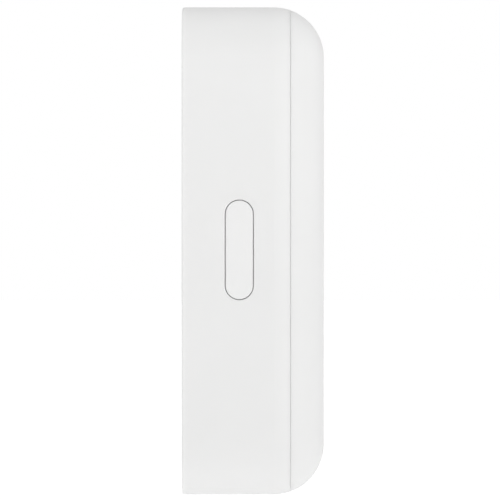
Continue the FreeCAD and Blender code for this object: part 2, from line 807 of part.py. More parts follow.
def front_cover():
    """The front shell with the curved edge, the window's recess and the bell button's opening."""
    outer = form("cover_outer", "0", "0")
    trim(outer, "0", SEAM)
    seam, front = -number(SEAM), -number(DEPTH)
    dress(outer, "Fillet", "seam_round", lambda edge: lies_at(edge, "Y", seam))
    hollow = cut("cover_hollow", outer, cover_cavity(), *cover_openings())
    tongue = seam_ring(
        "cover_tongue", "groove_inset + tongue_gap", "groove_width - 2*tongue_gap",
        f"{SEAM} - tongue_height",
        "tongue_height + seam_round",
    )
    joined = fuse("cover_joined", hollow, tongue, *cover_bosses())
    softened = soften(
        "cover_softened", joined, "edge_break", lambda e: lies_at(e, "Y", front) and is_opening_edge(e)
    )
    return sub_part("front_cover", softened)


def cover_bosses():
    """The part of each screw boss that reaches back past the seam."""

    def boss(n, x, z):
        reach = f"({SEAM} - {POST_TOP} - screw_gap)"
        outside = rod(f"boss_{n}", "post_radius", f"{reach} + 0.5", x, f"{POST_TOP} + screw_gap", z)
        way = rod(f"boss_way_{n}", "screw_radius + screw_gap/2", f"{reach} + 2", x, POST_TOP, z)
        return cut(f"boss_tube_{n}", outside, way)

    return at_corners(boss, POST_X, POST_Z)


def is_opening_edge(edge):
    """True if the edge bounds an opening in the front, not the curved rim."""
    box = edge.BoundBox
    inside = number(f"{HALF_WIDTH} - front_radius - 0.5")
    return max(abs(box.XMin), abs(box.XMax)) < inside


def housing_seal():
    """The silicone ring at the bottom of the seam's groove."""
    ring = seam_ring(
        "seal", "groove_inset + 0.02", "groove_width - 0.04", f"{SEAM} - groove_depth",
        "groove_depth - tongue_height"
    )
    return sub_part("housing_seal", ring)


def screw(name, radius, head_radius, head_height, length, x, back, z, rotation=FORWARD, driver="0.45"):
    """A round-headed screw with a cross recess, its head first."""
    body = turned(
        name,
        [
            ("0", "0"),
            (f"{head_radius}*0.7", "0"),
            (head_radius, f"{head_height}*0.45"),
            (head_radius, head_height),
            (radius, head_height),
            (radius, f"{head_height} + {length} - {radius}*0.8"),
            (f"{radius}*0.4", f"{head_height} + {length}"),
            ("0", f"{head_height} + {length}"),
        ],
    )
    for turn in ("wide", "tall"):
        sketch = new_sketch(body, f"{name}_{turn}", "XY_Plane")
        long_side, short_side = f"{head_radius}*1.1", f"{head_radius}*0.28"
        x_half, y_half = (long_side, short_side) if turn == "wide" else (short_side, long_side)
        polygon(
            sketch,
            [
                (f"-({x_half})/2", f"-({y_half})/2"),
                (f"({x_half})/2", f"-({y_half})/2"),
                (f"({x_half})/2", f"({y_half})/2"),
                (f"-({x_half})/2", f"({y_half})/2"),
            ],
        )
        pocket(body, sketch, f"{head_height}*{driver}")
    return place(body, x, f"-({back})", z, rotation)


def cover_screws():
    """Four screws that reach through the rear posts into the cover's bosses."""
    head_at = f"({POST_FLOOR} - screw_head_height)"
    made = at_corners(
        lambda n, x, z: screw(
            f"cover_screw_{n}", "screw_radius", "screw_head_radius", "screw_head_height", "screw_length", x,
            head_at, z
        ),
        POST_X, POST_Z,
    )
    return sub_part("cover_screws", group("cover_screw_set", *made))


# ---- the wall bracket ----


def wall_bracket():
    """The dovetail plate that is screwed to the wall, with a foot that the lock screw goes through."""
    body = doc.addObject("PartDesign::Body", "bracket_plate")
    sketch = new_sketch(body, "bracket_outline", "XY_Plane", FLOOR_Z)
    rail_outline(sketch, "rail_gap")
    pad(body, sketch, "rail_stop_z - rail_gap + body_height/2")
    top = number("rail_stop_z - rail_gap")
    dress(
        body, "Chamfer", "edge_break*3",
        lambda edge: lies_at(edge, "Z", top) and edge.Length > number("rail_depth*2")
    )
    foot = block(
        "bracket_foot", "foot_width", "foot_reach", "foot_thickness", z=f"{FLOOR_Z} + foot_thickness/2"
    )
    upper = "(wall_hole_middle_z + wall_hole_spacing/2)"
    lower = "(wall_hole_middle_z - wall_hole_spacing/2)"
    window = plate(
        "bracket_window",
        lambda s: rounded_rectangle(s, "wire_width", "wire_height", "wire_round", "0", LENS_Z),
        "-1", "rail_depth + 2",
    )
    tools = [
        window,
        rod(
            "bracket_lock_way", "lock_radius + lock_gap", "foot_thickness + 2", "0", "lock_depth",
            f"{FLOOR_Z} - 1", UPRIGHT
        ),
        cone(
            "bracket_lock_sink", "lock_head_radius + lock_gap", "lock_radius + lock_gap",
            "lock_head_height", "0", "lock_depth", FLOOR_Z, UPRIGHT,
        ),
    ]
    for i, z in enumerate((upper, lower)):
        sink_at = "(rail_depth - rail_gap - wall_sink_depth)"
        tools.append(rod(f"wall_hole_{i}", "wall_hole_radius", "rail_depth + 2", "0", "-1", z))
        tools.append(
            cone(
                f"wall_sink_{i}", "wall_hole_radius", "wall_sink_radius", "wall_sink_depth", "0", sink_at, z
            )
        )
    # Shallow hollows on the side that faces the doorbell, which leave the plate with stiffening ribs.
    for i, z in enumerate(("wall_hole_middle_z + 12", "wall_hole_middle_z", "wall_hole_middle_z - 12")):
        for side in ("-1", "1"):
            hollow = plate(
                f"bracket_hollow_{i}_{'left' if side == '-1' else 'right'}",
                lambda s, side=side, z=z: rounded_rectangle(
                    s, "rail_mouth/2 - 5", "9", "1.5", f"{side}*(rail_mouth/4)", z
                ),
                "rail_depth - rail_gap - 1.2", "3",
            )
            tools.append(hollow)
    return sub_part("wall_bracket", cut("bracket_cut", fuse("bracket_solid", body, foot), *tools))


def lock_screw():
    """The countersunk screw that goes up through the bracket's foot into the housing."""
    profile = [
        ("0", "0"),
        ("lock_head_radius", "0"),
        ("lock_radius", "lock_head_height"),
        ("lock_radius", "lock_length"),
        ("lock_radius*0.6", "lock_length + 0.8"),
        ("0", "lock_length + 0.8"),
    ]
    body = turned("lock", profile, "0", "lock_depth", FLOOR_Z, UPRIGHT)
    sketch = new_sketch(body, "lock_socket", "XY_Plane")
    points = [(f"lock_radius*0.8*cos({60 * i})", f"lock_radius*0.8*sin({60 * i})") for i in range(6)]
    polygon(sketch, points)
    pocket(body, sketch, "lock_head_height*0.7")
    return sub_part("lock_screw", body)


def wire_terminals():
    """The base and the two screws that take the wires of an old bell circuit."""
    wide, tall = wire_pocket_size("-0.3")
    floor = "(pocket_depth - terminal_base)"
    base = block("terminal_base_block", wide, "terminal_base", tall, "0", floor, LENS_Z)
    ways, screws = [], []
    for i, side in enumerate(("1", "-1")):
        x = f"{side}*terminal_spacing/2"
        ways.append(rod(f"terminal_hole_{i}", "1.35", "terminal_base + 2", x, f"{floor} - 1", LENS_Z))
        ways.append(block(f"wire_gutter_{i}", "2.6", "1.2", "20", x, f"{floor} - 0.4", f"{LENS_Z} - 10"))
        screws.append(
            screw(
                f"terminal_screw_{i}", "1.25", "terminal_radius", "terminal_height", "terminal_base + 1", x,
                f"{floor} - terminal_height", LENS_Z,
            )
        )
    sub_part("terminal_block", cut("terminal_cut", base, *ways))
    return sub_part("terminal_screws", group("terminal_screw_set", *screws))


def rear_label():
    """The plain label stuck on the floor of the rail channel."""
    sticker = plate(
        "label", lambda s: rounded_rectangle(s, "label_width", "label_height", "1.5", "0", "label_z"),
        "rail_depth - label_thickness", "label_thickness",
    )
    return sub_part("rear_label", sticker)


# ---- the side button ----


def side_plate(name, draw, inwards, thickness):
    """A body padded inwards from a plane that lies a distance inside the button's side face."""
    return plate(name, draw, f"-{HALF_WIDTH} + {inwards}", thickness, "YZ_Plane")


def side_pill(extra_width, extra_height):
    """Draws the side button's outline, larger all round by the extras."""
    return lambda s: pill(
        s, f"side_width + 2*({extra_width})", f"side_height + 2*({extra_height})", "-side_depth", "side_z"
    )


def side_rod(name, radius, length, inwards):
    """A cylinder that runs inwards behind the side button."""
    return rod(name, radius, length, f"-{HALF_WIDTH} + {inwards}", "side_depth", "side_z", SIDEWAYS)


def side_button():
    """The pill-shaped cap, its flange behind the wall and its stem."""
    cap = side_plate("side_cap", side_pill("-side_gap", "-side_gap"), "0", f"{SIDE_FLANGE_AT} + 0.2")
    face = -number(HALF_WIDTH)
    dress(cap, "Fillet", "edge_break", lambda edge: lies_at(edge, "X", face))
    flange = side_plate(
        "side_cap_flange", side_pill("side_flange", "side_flange"), SIDE_FLANGE_AT, "side_flange_thickness"
    )
    stem = side_rod(
        "side_cap_stem", "side_stem_radius", "side_stem_length + 0.2",
        f"{SIDE_STEM_END} - side_stem_length - 0.2"
    )
    return sub_part("side_button", fuse("side_button_solid", cap, flange, stem))


def side_switch_parts():
    """The seal, the frame, the switch and its board behind the side button."""
    seal_at, seal_depth = "housing_wall", f"{SIDE_FRAME_AT} - housing_wall"
    outside = side_plate(
        "side_seal_outside",
        side_pill("side_flange + 0.3 + side_seal_width", "side_flange + 0.3 + side_seal_width"), seal_at,
        seal_depth
    )
    inside = side_plate(
        "side_seal_inside", side_pill("side_flange + 0.3", "side_flange + 0.3"), f"{seal_at} - 1",
        f"{seal_depth} + 2"
    )
    sub_part("side_button_seal", cut("side_seal_ring", outside, inside))

    web_x = f"-{HALF_WIDTH} + {SIDE_FRAME_AT} + side_frame_thickness/2"
    web = block(
        "side_frame_web", "side_frame_thickness", "side_frame_width", "side_frame_height", web_x,
        "side_depth - side_frame_width/2", "side_z",
    )
    legs = []
    for i, end in enumerate(("1", "-1")):
        z = f"side_z + {end}*(side_board_height/2 - side_leg/2)"
        reach = f"({SIDE_BOARD_AT} - {SIDE_FRAME_AT})"
        x = f"-{HALF_WIDTH} + {SIDE_FRAME_AT} + {reach}/2"
        legs.append(
            block(
                f"side_leg_{i}", reach, "side_board_width", "side_leg", x,
                "side_depth - side_board_width/2", z
            )
        )
    way = side_rod(
        "side_frame_way", "side_stem_radius + 0.3", "side_frame_thickness + 2", f"{SIDE_FRAME_AT} - 1"
    )
    sub_part("side_switch_frame", cut("side_frame_cut", fuse("side_frame_solid", web, *legs), way))

    body_x = f"-{HALF_WIDTH} + {SIDE_SWITCH_AT} + switch_height/2"
    body = block(
        "side_switch_body", "switch_height", "switch_size", "switch_size", body_x,
        "side_depth - switch_size/2", "side_z"
    )
    bore = side_rod(
        "side_switch_bore", "plunger_radius + plunger_gap", "switch_height - 0.4",
        f"{SIDE_SWITCH_AT} - 0.01"
    )
    sub_part("side_switch", cut("side_switch_cut", body, bore))
    plunger = side_rod(
        "side_plunger", "plunger_radius", "plunger_height + switch_height*0.5", SIDE_STEM_END
    )
    sub_part("side_switch_plunger", plunger)
    board_x = f"-{HALF_WIDTH} + {SIDE_BOARD_AT} + board_thickness/2"
    board = block(
        "side_board", "board_thickness", "side_board_width", "side_board_height", board_x,
        "side_depth - side_board_width/2", "side_z"
    )
    return sub_part("side_switch_board", board)


# ---- the front: window, camera and motion sensor ----


def window_sheet(name, gap, back, thickness, *holes):
    """A pill-shaped sheet that fits the panel's recess, with holes given as (radius, x, z)."""

    def outline(sketch):
        pill(sketch, f"panel_width - 2*{gap}", f"panel_height - 2*{gap}", "0", PANEL_Z)
        for radius, x, z in holes:
            circle(sketch, radius, x, z)

    return plate(name, outline, back, thickness)


def front_window():
    """The cover glass and the dark mask printed behind it."""
    motion = ("motion_radius + ring_gap", "0", MOTION_Z)
    glass = window_sheet("window", "panel_gap", f"{DEPTH} - window_thickness", "window_thickness", motion)
    front = -number(DEPTH)
    dress(glass, "Fillet", "edge_break", lambda edge: lies_at(edge, "Y", front))
    sub_part("front_window", glass)
    holes = [("mask_aperture", "0", LENS_Z), ("sensor_hole_radius", "0", SENSOR_Z), motion]
    mask = window_sheet("mask", "panel_gap", LEDGE_FRONT, "mask_thickness", *holes)
    return sub_part("window_mask", mask)


def camera():
    """The camera's board, its chip, the lens holder with its filter, the barrel and the lens."""
    board = block(
        "camera_board_block", "camera_board_width", "board_thickness", "camera_board_height", "0",
        CAMERA_BACK, LENS_Z
    )
    ways = at_two_sides(
        lambda n, x: rod(f"camera_hole_{n}", "1.0", "board_thickness + 2", x, f"{CAMERA_BACK} - 1", LENS_Z)
    )
    sub_part("camera_board", cut("camera_board_cut", board, *ways))
    sub_part(
        "image_sensor",
        block("image_chip", "chip_width", "chip_thickness", "chip_height", "0", CAMERA_FRONT, LENS_Z)
    )

    outside = block(
        "holder_base", "holder_width", "holder_height*0.5", "holder_width", "0", CAMERA_FRONT, LENS_Z
    )
    collar = rod(
        "holder_collar", "barrel_radius + barrel_gap + holder_wall", "holder_height", "0", CAMERA_FRONT,
        LENS_Z
    )
    room = block(
        "holder_room", "chip_width + 1.6", "chip_thickness + 0.8", "chip_height + 1.6", "0",
        f"{CAMERA_FRONT} - 0.01", LENS_Z
    )
    seat_at = f"({CAMERA_FRONT} + chip_thickness + 0.8)"
    light_way = rod("holder_light", "3.2", "holder_height", "0", CAMERA_FRONT, LENS_Z)
    thread = rod(
        "holder_thread", "barrel_radius + barrel_gap", "holder_height", "0",
        f"{seat_at} + filter_thickness + 0.6", LENS_Z
    )
    filter_seat = block(
        "filter_seat", "8.2", "filter_thickness + 0.65", "8.2", "0", f"{seat_at} - 0.01", LENS_Z
    )
    sub_part(
        "lens_holder",
        cut("holder_cut", fuse("holder_solid", outside, collar), room, light_way, thread, filter_seat)
    )
    filter_glass = block("filter_glass", "8", "filter_thickness", "8", "0", f"{seat_at} + 0.6", LENS_Z)
    sub_part("infrared_filter", filter_glass)

    start = f"({seat_at} + filter_thickness + 0.8)"
    length, cap = "barrel_length", "barrel_cap_height"
    barrel = turned(
        "barrel",
        [
            ("lens_radius*0.62", "0"),
            ("barrel_radius", "0"),
            ("barrel_radius", f"{length} - {cap}"),
            ("barrel_cap_radius", f"{length} - {cap}"),
            ("barrel_cap_radius", f"{length} - 0.3"),
            ("barrel_cap_radius - 0.3", length),
            ("lens_radius + 0.9", length),
            ("lens_radius + 0.05", f"{length} - 0.7"),
            ("lens_radius + 0.05", f"{length} - 1.9"),
            ("lens_radius*0.62", f"{length} - 1.9"),
        ],
        "0", start, LENS_Z,
    )
    sub_part("lens_barrel", barrel)
    seat = f"({start} + {length} - 1.9)"
    ball = f"((lens_radius^2 + lens_dome^2)/(2*lens_dome))"
    sphere = doc.addObject("Part::Sphere", "lens_ball")
    bind(sphere, Radius=ball)
    place(sphere, "0", f"-({seat} + 0.5 + lens_dome - {ball})", LENS_Z)
    core = rod("lens_core", "lens_radius", "0.5 + lens_dome + 1", "0", seat, LENS_Z)
    front_lens = doc.addObject("Part::Common", "lens_front_common")
    front_lens.Base = core
    front_lens.Tool = sphere
    sub_part("front_lens", front_lens)
    inner = rod("inner_lens_disc", "lens_radius*0.6", "1.6", "0", f"{start} + {length} - 4.4", LENS_Z)
    sub_part("inner_lens", inner)
    heads = at_two_sides(
        lambda n, x: screw(
            f"camera_screw_{n}", "0.8", "1.5", "0.8", "3.4", x, f"{CAMERA_FRONT} + 0.8", LENS_Z,
            Rotation(Vector(1, 0, 0), -90)
        )
    )
    return sub_part("camera_screws", group("camera_screw_set", *heads))


def at_two_sides(make):
    """What make(name, x) returns at the camera board's two screw places."""
    return [make(name, f"{side}*{CAMERA_POST_X}") for name, side in (("left", "-1"), ("right", "1"))]


def infrared_lamps():
    """The ring-shaped board round the lens and its four infrared lamps."""

    def outline(sketch):
        circle(sketch, "infrared_circle + 1.8", "0", LENS_Z)
        circle(sketch, "barrel_cap_radius + 0.4", "0", LENS_Z)

    sub_part("infrared_board", plate("infrared_ring", outline, LAMP_BOARD_BACK, "board_thickness*0.8"))
    lamps = []
    for i in range(4):
        x, z = infrared_place(i)
        foot = block(f"lamp_foot_{i}", "2.8", "0.6", "2.8", x, LAMP_BOARD_FRONT, z)
        dome = cone(
            f"lamp_dome_{i}", "infrared_radius - 0.1", "infrared_radius*0.6", "1.5", x,
            f"{LAMP_BOARD_FRONT} + 0.6", z
        )
        lamps.append(fuse(f"lamp_{i}", foot, dome))
    return sub_part("infrared_lamps", group("lamp_set", *lamps))


def motion_sensor():
    """The moulded lens in front of the heat sensor, and the sensor's can on the main board."""
    front = f"({DEPTH} - motion_recess)"
    back = f"({COVER_INSIDE} - motion_wall)"
    tall = f"({front} - {back})"
    lens = turned(
        "motion_dome",
        [
            ("0", f"{tall} - motion_wall"),
            ("motion_radius*0.6", f"{tall} - motion_wall - 0.25"),
            ("motion_radius - motion_wall", f"{tall} - motion_wall - 0.8"),
            ("motion_radius - motion_wall", "0"),
            ("motion_radius + motion_flange", "0"),
            ("motion_radius + motion_flange", "motion_wall"),
            ("motion_radius", "motion_wall"),
            ("motion_radius", f"{tall} - 0.7"),
            ("motion_radius*0.6", f"{tall} - 0.2"),
            ("0", tall),
        ],
        "0", back, MOTION_Z,
    )
    sub_part("motion_lens", lens)
    can = turned(
        "motion_can",
        [
            ("0", "0"),
            ("motion_can_radius + 0.5", "0"),
            ("motion_can_radius + 0.5", "0.4"),
            ("motion_can_radius", "0.4"),
            ("motion_can_radius", "motion_can_height - 0.4"),
            ("motion_can_radius - 0.4", "motion_can_height"),
            ("0", "motion_can_height"),
        ],
        "0", MAIN_FRONT, MOTION_Z,
    )
    window = block(
        "motion_window", "4.4", "2", "3.4", "0", f"{MAIN_FRONT} + motion_can_height - 0.2", MOTION_Z
    )
    return sub_part("motion_sensor", cut("motion_can_cut", can, window))


# ---- the bell button ----


def bell_button():
    """The dished round cap, the ring of light round it, the membrane behind it and its switch."""
    front = f"({DEPTH} - bell_recess)"
    thick = "bell_cap_thickness"
    cap = turned(
        "bell_cap",
        [
            ("0", "0"),
            ("bell_radius", "0"),
            ("bell_radius", f"{thick} - 0.4"),
            ("bell_radius - 0.4", thick),
            ("bell_radius - 1.6", thick),
            ("bell_radius*0.55", f"{thick} - bell_dish*0.8"),
            ("0", f"{thick} - bell_dish"),
        ],
        "0", f"{front} - {thick}", BELL_Z,
    )
    skirt_back = f"({DEPTH} - ring_height + ring_step - ring_gap - 1)"
    skirt_height = f"({front} - {thick} - {skirt_back} + 0.2)"
    skirt = turned(
        "bell_skirt",
        [
            ("bell_radius - bell_skirt", "0"),
            ("bell_radius + bell_flange", "0"),
            ("bell_radius + bell_flange", "1"),
            ("bell_radius", "1"),
            ("bell_radius", skirt_height),
            ("bell_radius - bell_skirt", skirt_height),
        ],
        "0", skirt_back, BELL_Z,
    )
    stem_back = f"({BELL_SWITCH_TOP} + bell_travel + switch_gap)"
    stem = rod(
        "bell_stem", "bell_stem_radius", f"{front} - {thick} - {stem_back} + 0.2", "0", stem_back, BELL_Z
    )
    sub_part("bell_button", fuse("bell_solid", cap, skirt, stem))

    back = f"({DEPTH} - ring_height)"
    inner = "(bell_radius + bell_gap)"
    ring = turned(
        "light_ring",
        [
            (inner, "ring_step"),
            (f"{inner} + bell_flange", "ring_step"),
            (f"{inner} + bell_flange", "0"),
            (f"{RING_OUTER} + ring_flange", "0"),
            (f"{RING_OUTER} + ring_flange", "ring_flange_height - ring_gap"),
            (RING_OUTER, "ring_flange_height - ring_gap"),
            (RING_OUTER, "ring_height - 0.3"),
            (f"{RING_OUTER} - 0.3", "ring_height"),
            (f"{inner} + 0.3", "ring_height"),
            (inner, "ring_height - 0.3"),
        ],
        "0", back, BELL_Z,
    )
    sub_part("bell_light_ring", ring)

    membrane_at = f"({back} - membrane_thickness - ring_gap)"
    membrane = turned(
        "membrane",
        [
            ("bell_stem_radius + 0.4", "0"),
            (f"{RING_OUTER} + ring_flange", "0"),
            (f"{RING_OUTER} + ring_flange", "membrane_thickness"),
            ("bell_stem_radius + 0.4", "membrane_thickness"),
        ],
        "0", membrane_at, BELL_Z,
    )
    windows = []
    for i in range(LED_COUNT):
        x, z = ring_place(i)
        windows.append(
            rod(f"membrane_window_{i}", "1.1", "membrane_thickness + 2", x, f"{membrane_at} - 1", z)
        )
    sub_part("bell_membrane", cut("membrane_cut", membrane, *windows))

    body = block(
        "bell_switch_body", "switch_size", "bell_switch_height", "switch_size", "0", MAIN_FRONT, BELL_Z
    )
    bore = rod(
        "bell_switch_bore", "plunger_radius + plunger_gap", "bell_switch_height", "0",
        f"{MAIN_FRONT} + 0.15", BELL_Z
    )
    sub_part("bell_switch", cut("bell_switch_cut", body, bore))
    plunger_start = f"({MAIN_FRONT} + bell_switch_height*0.5)"
    plunger = rod(
        "bell_plunger", "plunger_radius", f"{stem_back} - {plunger_start}", "0", plunger_start, BELL_Z
    )
    sub_part("bell_switch_plunger", plunger)
    lamps = []
    for i in range(LED_COUNT):
        x, z = ring_place(i)
        lamps.append(block(f"ring_lamp_{i}", "1.6", "0.8", "1.6", x, MAIN_FRONT, z))
    return sub_part("ring_lamps", group("ring_lamp_set", *lamps))


def ring_place(i):
    """(x, z) of one of the lamps under the ring of light."""
    angle = (i + 0.5) * 360 / LED_COUNT
    radius = "(bell_radius + bell_gap + ring_width/2)"
    return f"{radius}*cos({angle})", f"{BELL_Z} + {radius}*sin({angle})"


# ---- boards, sound and power ----


def main_board():
    """The board that everything plugs into, its chips and the screws that hold it."""

    def outline(sketch):
        rounded_rectangle(sketch, MAIN_WIDTH, MAIN_HEIGHT, "2", "0", MAIN_MIDDLE_Z)
        for x, z in board_post_places():
            circle(sketch, "board_screw_radius + 0.2", x, z)

    sub_part("main_board", plate("main_board_sheet", outline, MAIN_BACK, "main_board_thickness"))
    screws = []
    for i, (x, z) in enumerate(board_post_places()):
        back = f"{MAIN_FRONT} + board_screw_head_height"
        screws.append(
            screw(
                f"board_screw_{i}", "board_screw_radius", "board_screw_head", "board_screw_head_height",
                "board_screw_length", x, back, z, Rotation(Vector(1, 0, 0), -90),
            )
        )
    sub_part("board_screws", group("board_screw_set", *screws))

    def on_board(name, width, height, thickness, x, z):
        return block(name, width, thickness, height, x, MAIN_FRONT, z)

    sub_part("processor", on_board("processor_chip", "9", "9", "1.2", "-16.6", "0.5"))
    memory = [on_board(f"memory_{i}", "6", "8", "0.9", "-16.6", z) for i, z in enumerate(("-12.4", "11.2"))]
    sub_part("memory_chips", group("memory_set", *memory))
    lid = on_board("radio_lid", "11", "14", "2.2", "16.4", "3.6")
    edge = block("radio_shield_room", "10.4", "1.9", "13.4", "16.4", f"{MAIN_FRONT} - 0.01", "3.6")
    sub_part("radio_shield", cut("radio_shield_cut", lid, edge))
    sub_part("radio_chip", on_board("radio_die", "6", "6", "0.9", "16.4", "3.6"))
    coil_places = (("-20.4", "-20"), ("20", "-20"))
    coils = [on_board(f"coil_{i}", "4", "4", "2.0", x, z) for i, (x, z) in enumerate(coil_places)]
    small = [
        on_board(f"capacitor_{i}", "1.6", "0.9", "0.8", f"{x}", f"{z}")
        for i, (x, z) in enumerate(
            [(-9.4, 5 - 2 * k) for k in range(4)] + [(20.5 - 2.4 * k, -9.4) for k in range(4)]
        )
    ]
    light_sensor = on_board("light_sensor", "2", "1.6", "0.6", "0", SENSOR_Z)
    sub_part("board_components", group("component_set", *coils, *small, light_sensor))
    guide = rod(
        "guide_rod", "sensor_hole_radius - 0.15", f"{LEDGE_FRONT} - {MAIN_FRONT} - 0.6", "0",
        f"{MAIN_FRONT} + 0.6", SENSOR_Z
    )
    sub_part("light_guide", guide)
    sockets = [
        on_board("battery_socket", "6", "4.4", "3.4", f"-({RING_SEAT} + socket_gap + 3)", "socket_z"),
        on_board("speaker_socket", "4.6", "4.4", "3.4", f"({RING_SEAT} + socket_gap + 3)", "socket_z"),
        on_board("ribbon_socket", "8.4", "3.2", "1.2", "ribbon_x", f"{MAIN_TOP} - 2.4"),
    ]
    return sub_part("board_sockets", group("socket_set", *sockets))


def camera_ribbon():
    """The flat cable that runs from the main board's upper edge back to the camera's board."""
    body = doc.addObject("PartDesign::Body", "ribbon")
    sketch = new_sketch(body, "ribbon_profile", "YZ_Plane", "ribbon_x - ribbon_width/2")
    start = f"({MAIN_FRONT} + 0.5)"
    low, high, thick = f"({MAIN_TOP} - 0.6)", f"({LENS_Z} - camera_board_height/2 - 1.2)", "0.25"
    lift = f"({start} + 0.8)"
    end = f"({CAMERA_FRONT} + 0.1)"
    polygon(
        sketch,
        [
            (f"-{start}", low),
            (f"-{lift}", f"{low} + 0.8"),
            (f"-{lift}", high),
            (f"-{end}", f"{high} + 1.2"),
            (f"-{end}", f"{high} + 2"),
            (f"-{end} - {thick}", f"{high} + 2"),
            (f"-{end} - {thick}", f"{high} + 1.2 + {thick}"),
            (f"-{lift} - {thick}", f"{high} + {thick}"),
            (f"-{lift} - {thick}", f"{low} + 0.6"),
            (f"-{start} - {thick}", low),
        ],
    )
    pad(body, sketch, "ribbon_width")
    return sub_part("camera_ribbon", body)


def inner_leads():
    """The battery's lead and the speaker's lead, each a flat strip to its socket on the main board."""
    battery = doc.addObject("PartDesign::Body", "battery_strip")
    side = new_sketch(
        battery, "battery_strip_profile", "YZ_Plane", f"-({RING_SEAT} + socket_gap + lead_width)"
    )
    below, wide = f"({GUARD_BOTTOM})", "lead_thickness"
    front, top = f"({MAIN_FRONT} + 1.6)", "(socket_z - 2.2)"
    back = f"({CELL_DEPTH} - 1)"
    polygon(
        side,
        [
            (f"-{back}", below),
            (f"-{back}", f"{below} - 2*{wide}"),
            (f"-{front}", f"{below} - 2*{wide}"),
            (f"-{front}", top),
            (f"-{front} + {wide}", top),
            (f"-{front} + {wide}", f"{below} - {wide}"),
            (f"-{back} - {wide}", f"{below} - {wide}"),
            (f"-{back} - {wide}", below),
        ],
    )
    pad(battery, side, "lead_width")
    speaker = doc.addObject("PartDesign::Body", "speaker_strip")
    across = new_sketch(speaker, "speaker_strip_profile", "XZ_Plane", f"{MAIN_FRONT} + 0.4")
    start, low = "(speaker_width/2)", f"({SPEAKER_Z} + 2)"
    bend = f"({RING_SEAT} + socket_gap + 1.8)"
    polygon(
        across,
        [
            (start, low),
            (f"{bend} + {wide}", low),
            (f"{bend} + {wide}", top),
            (bend, top),
            (bend, f"{low} + {wide}"),
            (start, f"{low} + {wide}"),
        ],
    )
    pad(speaker, across, wide)
    return sub_part("inner_leads", group("lead_set", battery, speaker))


def sound():
    """The microphone with its boot, and the speaker's frame, magnet, cone and foam."""
    microphone = block("mic_body", "mic_width", "mic_thickness", "mic_height", "0", MAIN_FRONT, MIC_Z)
    sub_part("microphone", microphone)
    boot_length = f"({COVER_INSIDE} - {MAIN_FRONT} - mic_thickness)"
    boot = block(
        "boot_body", "mic_width", boot_length, "mic_height", "0", f"{MAIN_FRONT} + mic_thickness", MIC_Z
    )
    bore = rod(
        "boot_bore", "mic_hole_radius + 0.1", f"{boot_length} + 2", "0",
        f"{MAIN_FRONT} + mic_thickness - 1", MIC_Z
    )
    sub_part("microphone_boot", cut("boot_cut", boot, bore))

    def outline(width, height):
        return lambda s: rounded_rectangle(s, width, height, f"({height})*0.35", "0", SPEAKER_Z)

    back = f"({SPEAKER_FRONT} - speaker_depth)"
    wide, tall = "speaker_width", "speaker_height"
    inner_wide, inner_tall = "(speaker_width - 2*speaker_rim)", "(speaker_height - 2*speaker_rim)"
    basket = plate("speaker_basket", outline(wide, tall), back, "speaker_depth")
    room = plate("speaker_room", outline(inner_wide, inner_tall), f"{back} + 1", "speaker_depth")
    magnet_way = block("magnet_way", "14.2", "3", "6.2", "0", f"{back} - 1", SPEAKER_Z)
    sub_part("speaker_frame", cut("speaker_frame_cut", basket, room, magnet_way))
    sub_part("speaker_magnet", block("magnet", "14", "2.6", "6", "0", back, SPEAKER_Z))
    cone_at = f"{SPEAKER_FRONT} - 1.4"
    cone_sheet = plate(
        "speaker_sheet", outline(f"({inner_wide} - 0.1)", f"({inner_tall} - 0.1)"), cone_at, "0.5"
    )
    dome = plate("speaker_dome", outline(f"({inner_wide}*0.55)", f"({inner_tall}*0.6)"), cone_at, "1")
    sub_part("speaker_cone", fuse("speaker_cone_solid", cone_sheet, dome))
    # The gasket fills the space from the speaker's rim to the cover's curved inside.
    foam = plate("gasket_outside", outline(wide, tall), SPEAKER_FRONT, "speaker_from_front")
    foam_way = plate(
        "gasket_inside", outline(inner_wide, inner_tall), f"{SPEAKER_FRONT} - 1", "speaker_from_front + 2"
    )
    gasket = doc.addObject("Part::Common", "gasket_common")
    gasket.Base = cut("gasket_cut", foam, foam_way)
    gasket.Tool = form("gasket_limit", "cover_wall", "0")
    return sub_part("speaker_gasket", gasket)


def battery():
    """Two cells side by side, the cradle they lie in, the tabs that join them and their small board."""
    cells_made, seats = [], []
    for i, side in enumerate(("-1", "1")):
        x = f"{side}*cell_pitch/2"
        can = rod(f"cell_can_{i}", "cell_radius", "cell_length", x, CELL_DEPTH, "cell_bottom", UPRIGHT)
        nub = rod(
            f"cell_nub_{i}", "cell_nub_radius", "cell_nub_height + 0.5", x, CELL_DEPTH,
            "cell_bottom + cell_length - 0.5", UPRIGHT
        )
        cells_made.append(fuse(f"cell_{i}", can, nub))
        seats.append(
            rod(
                f"cell_seat_{i}", "cell_radius + cradle_gap", "cell_length + 1", x, CELL_DEPTH,
                "cell_bottom - 0.5", UPRIGHT
            )
        )
    sub_part("battery_cells", group("cell_set", *cells_made))
    bed = block(
        "cradle_bed", "2*cell_pitch + 1", "cradle_rise", "cell_length - 2", "0", CHANNEL_FLOOR,
        "cell_bottom + cell_length/2"
    )
    sub_part("battery_cradle", cut("cradle_cut", bed, *seats))
    tab_at = "(cell_bottom + cell_length + cell_nub_height + 0.05)"
    tab_z = (f"{tab_at} + tab_thickness/2", "cell_bottom - 0.05 - tab_thickness/2")
    tabs = [
        block(f"tab_{i}", "cell_pitch + 6", "3.6", "tab_thickness", "0", f"{CELL_DEPTH} - 1.8", z)
        for i, z in enumerate(tab_z)
    ]
    sub_part("battery_tabs", group("tab_set", *tabs))
    guard = block(
        "guard_board", "2*cell_pitch", "8", "0.8", "0", f"{CELL_DEPTH} - 4", f"{GUARD_BOTTOM} + 0.4"
    )
    return sub_part("battery_board", guard)


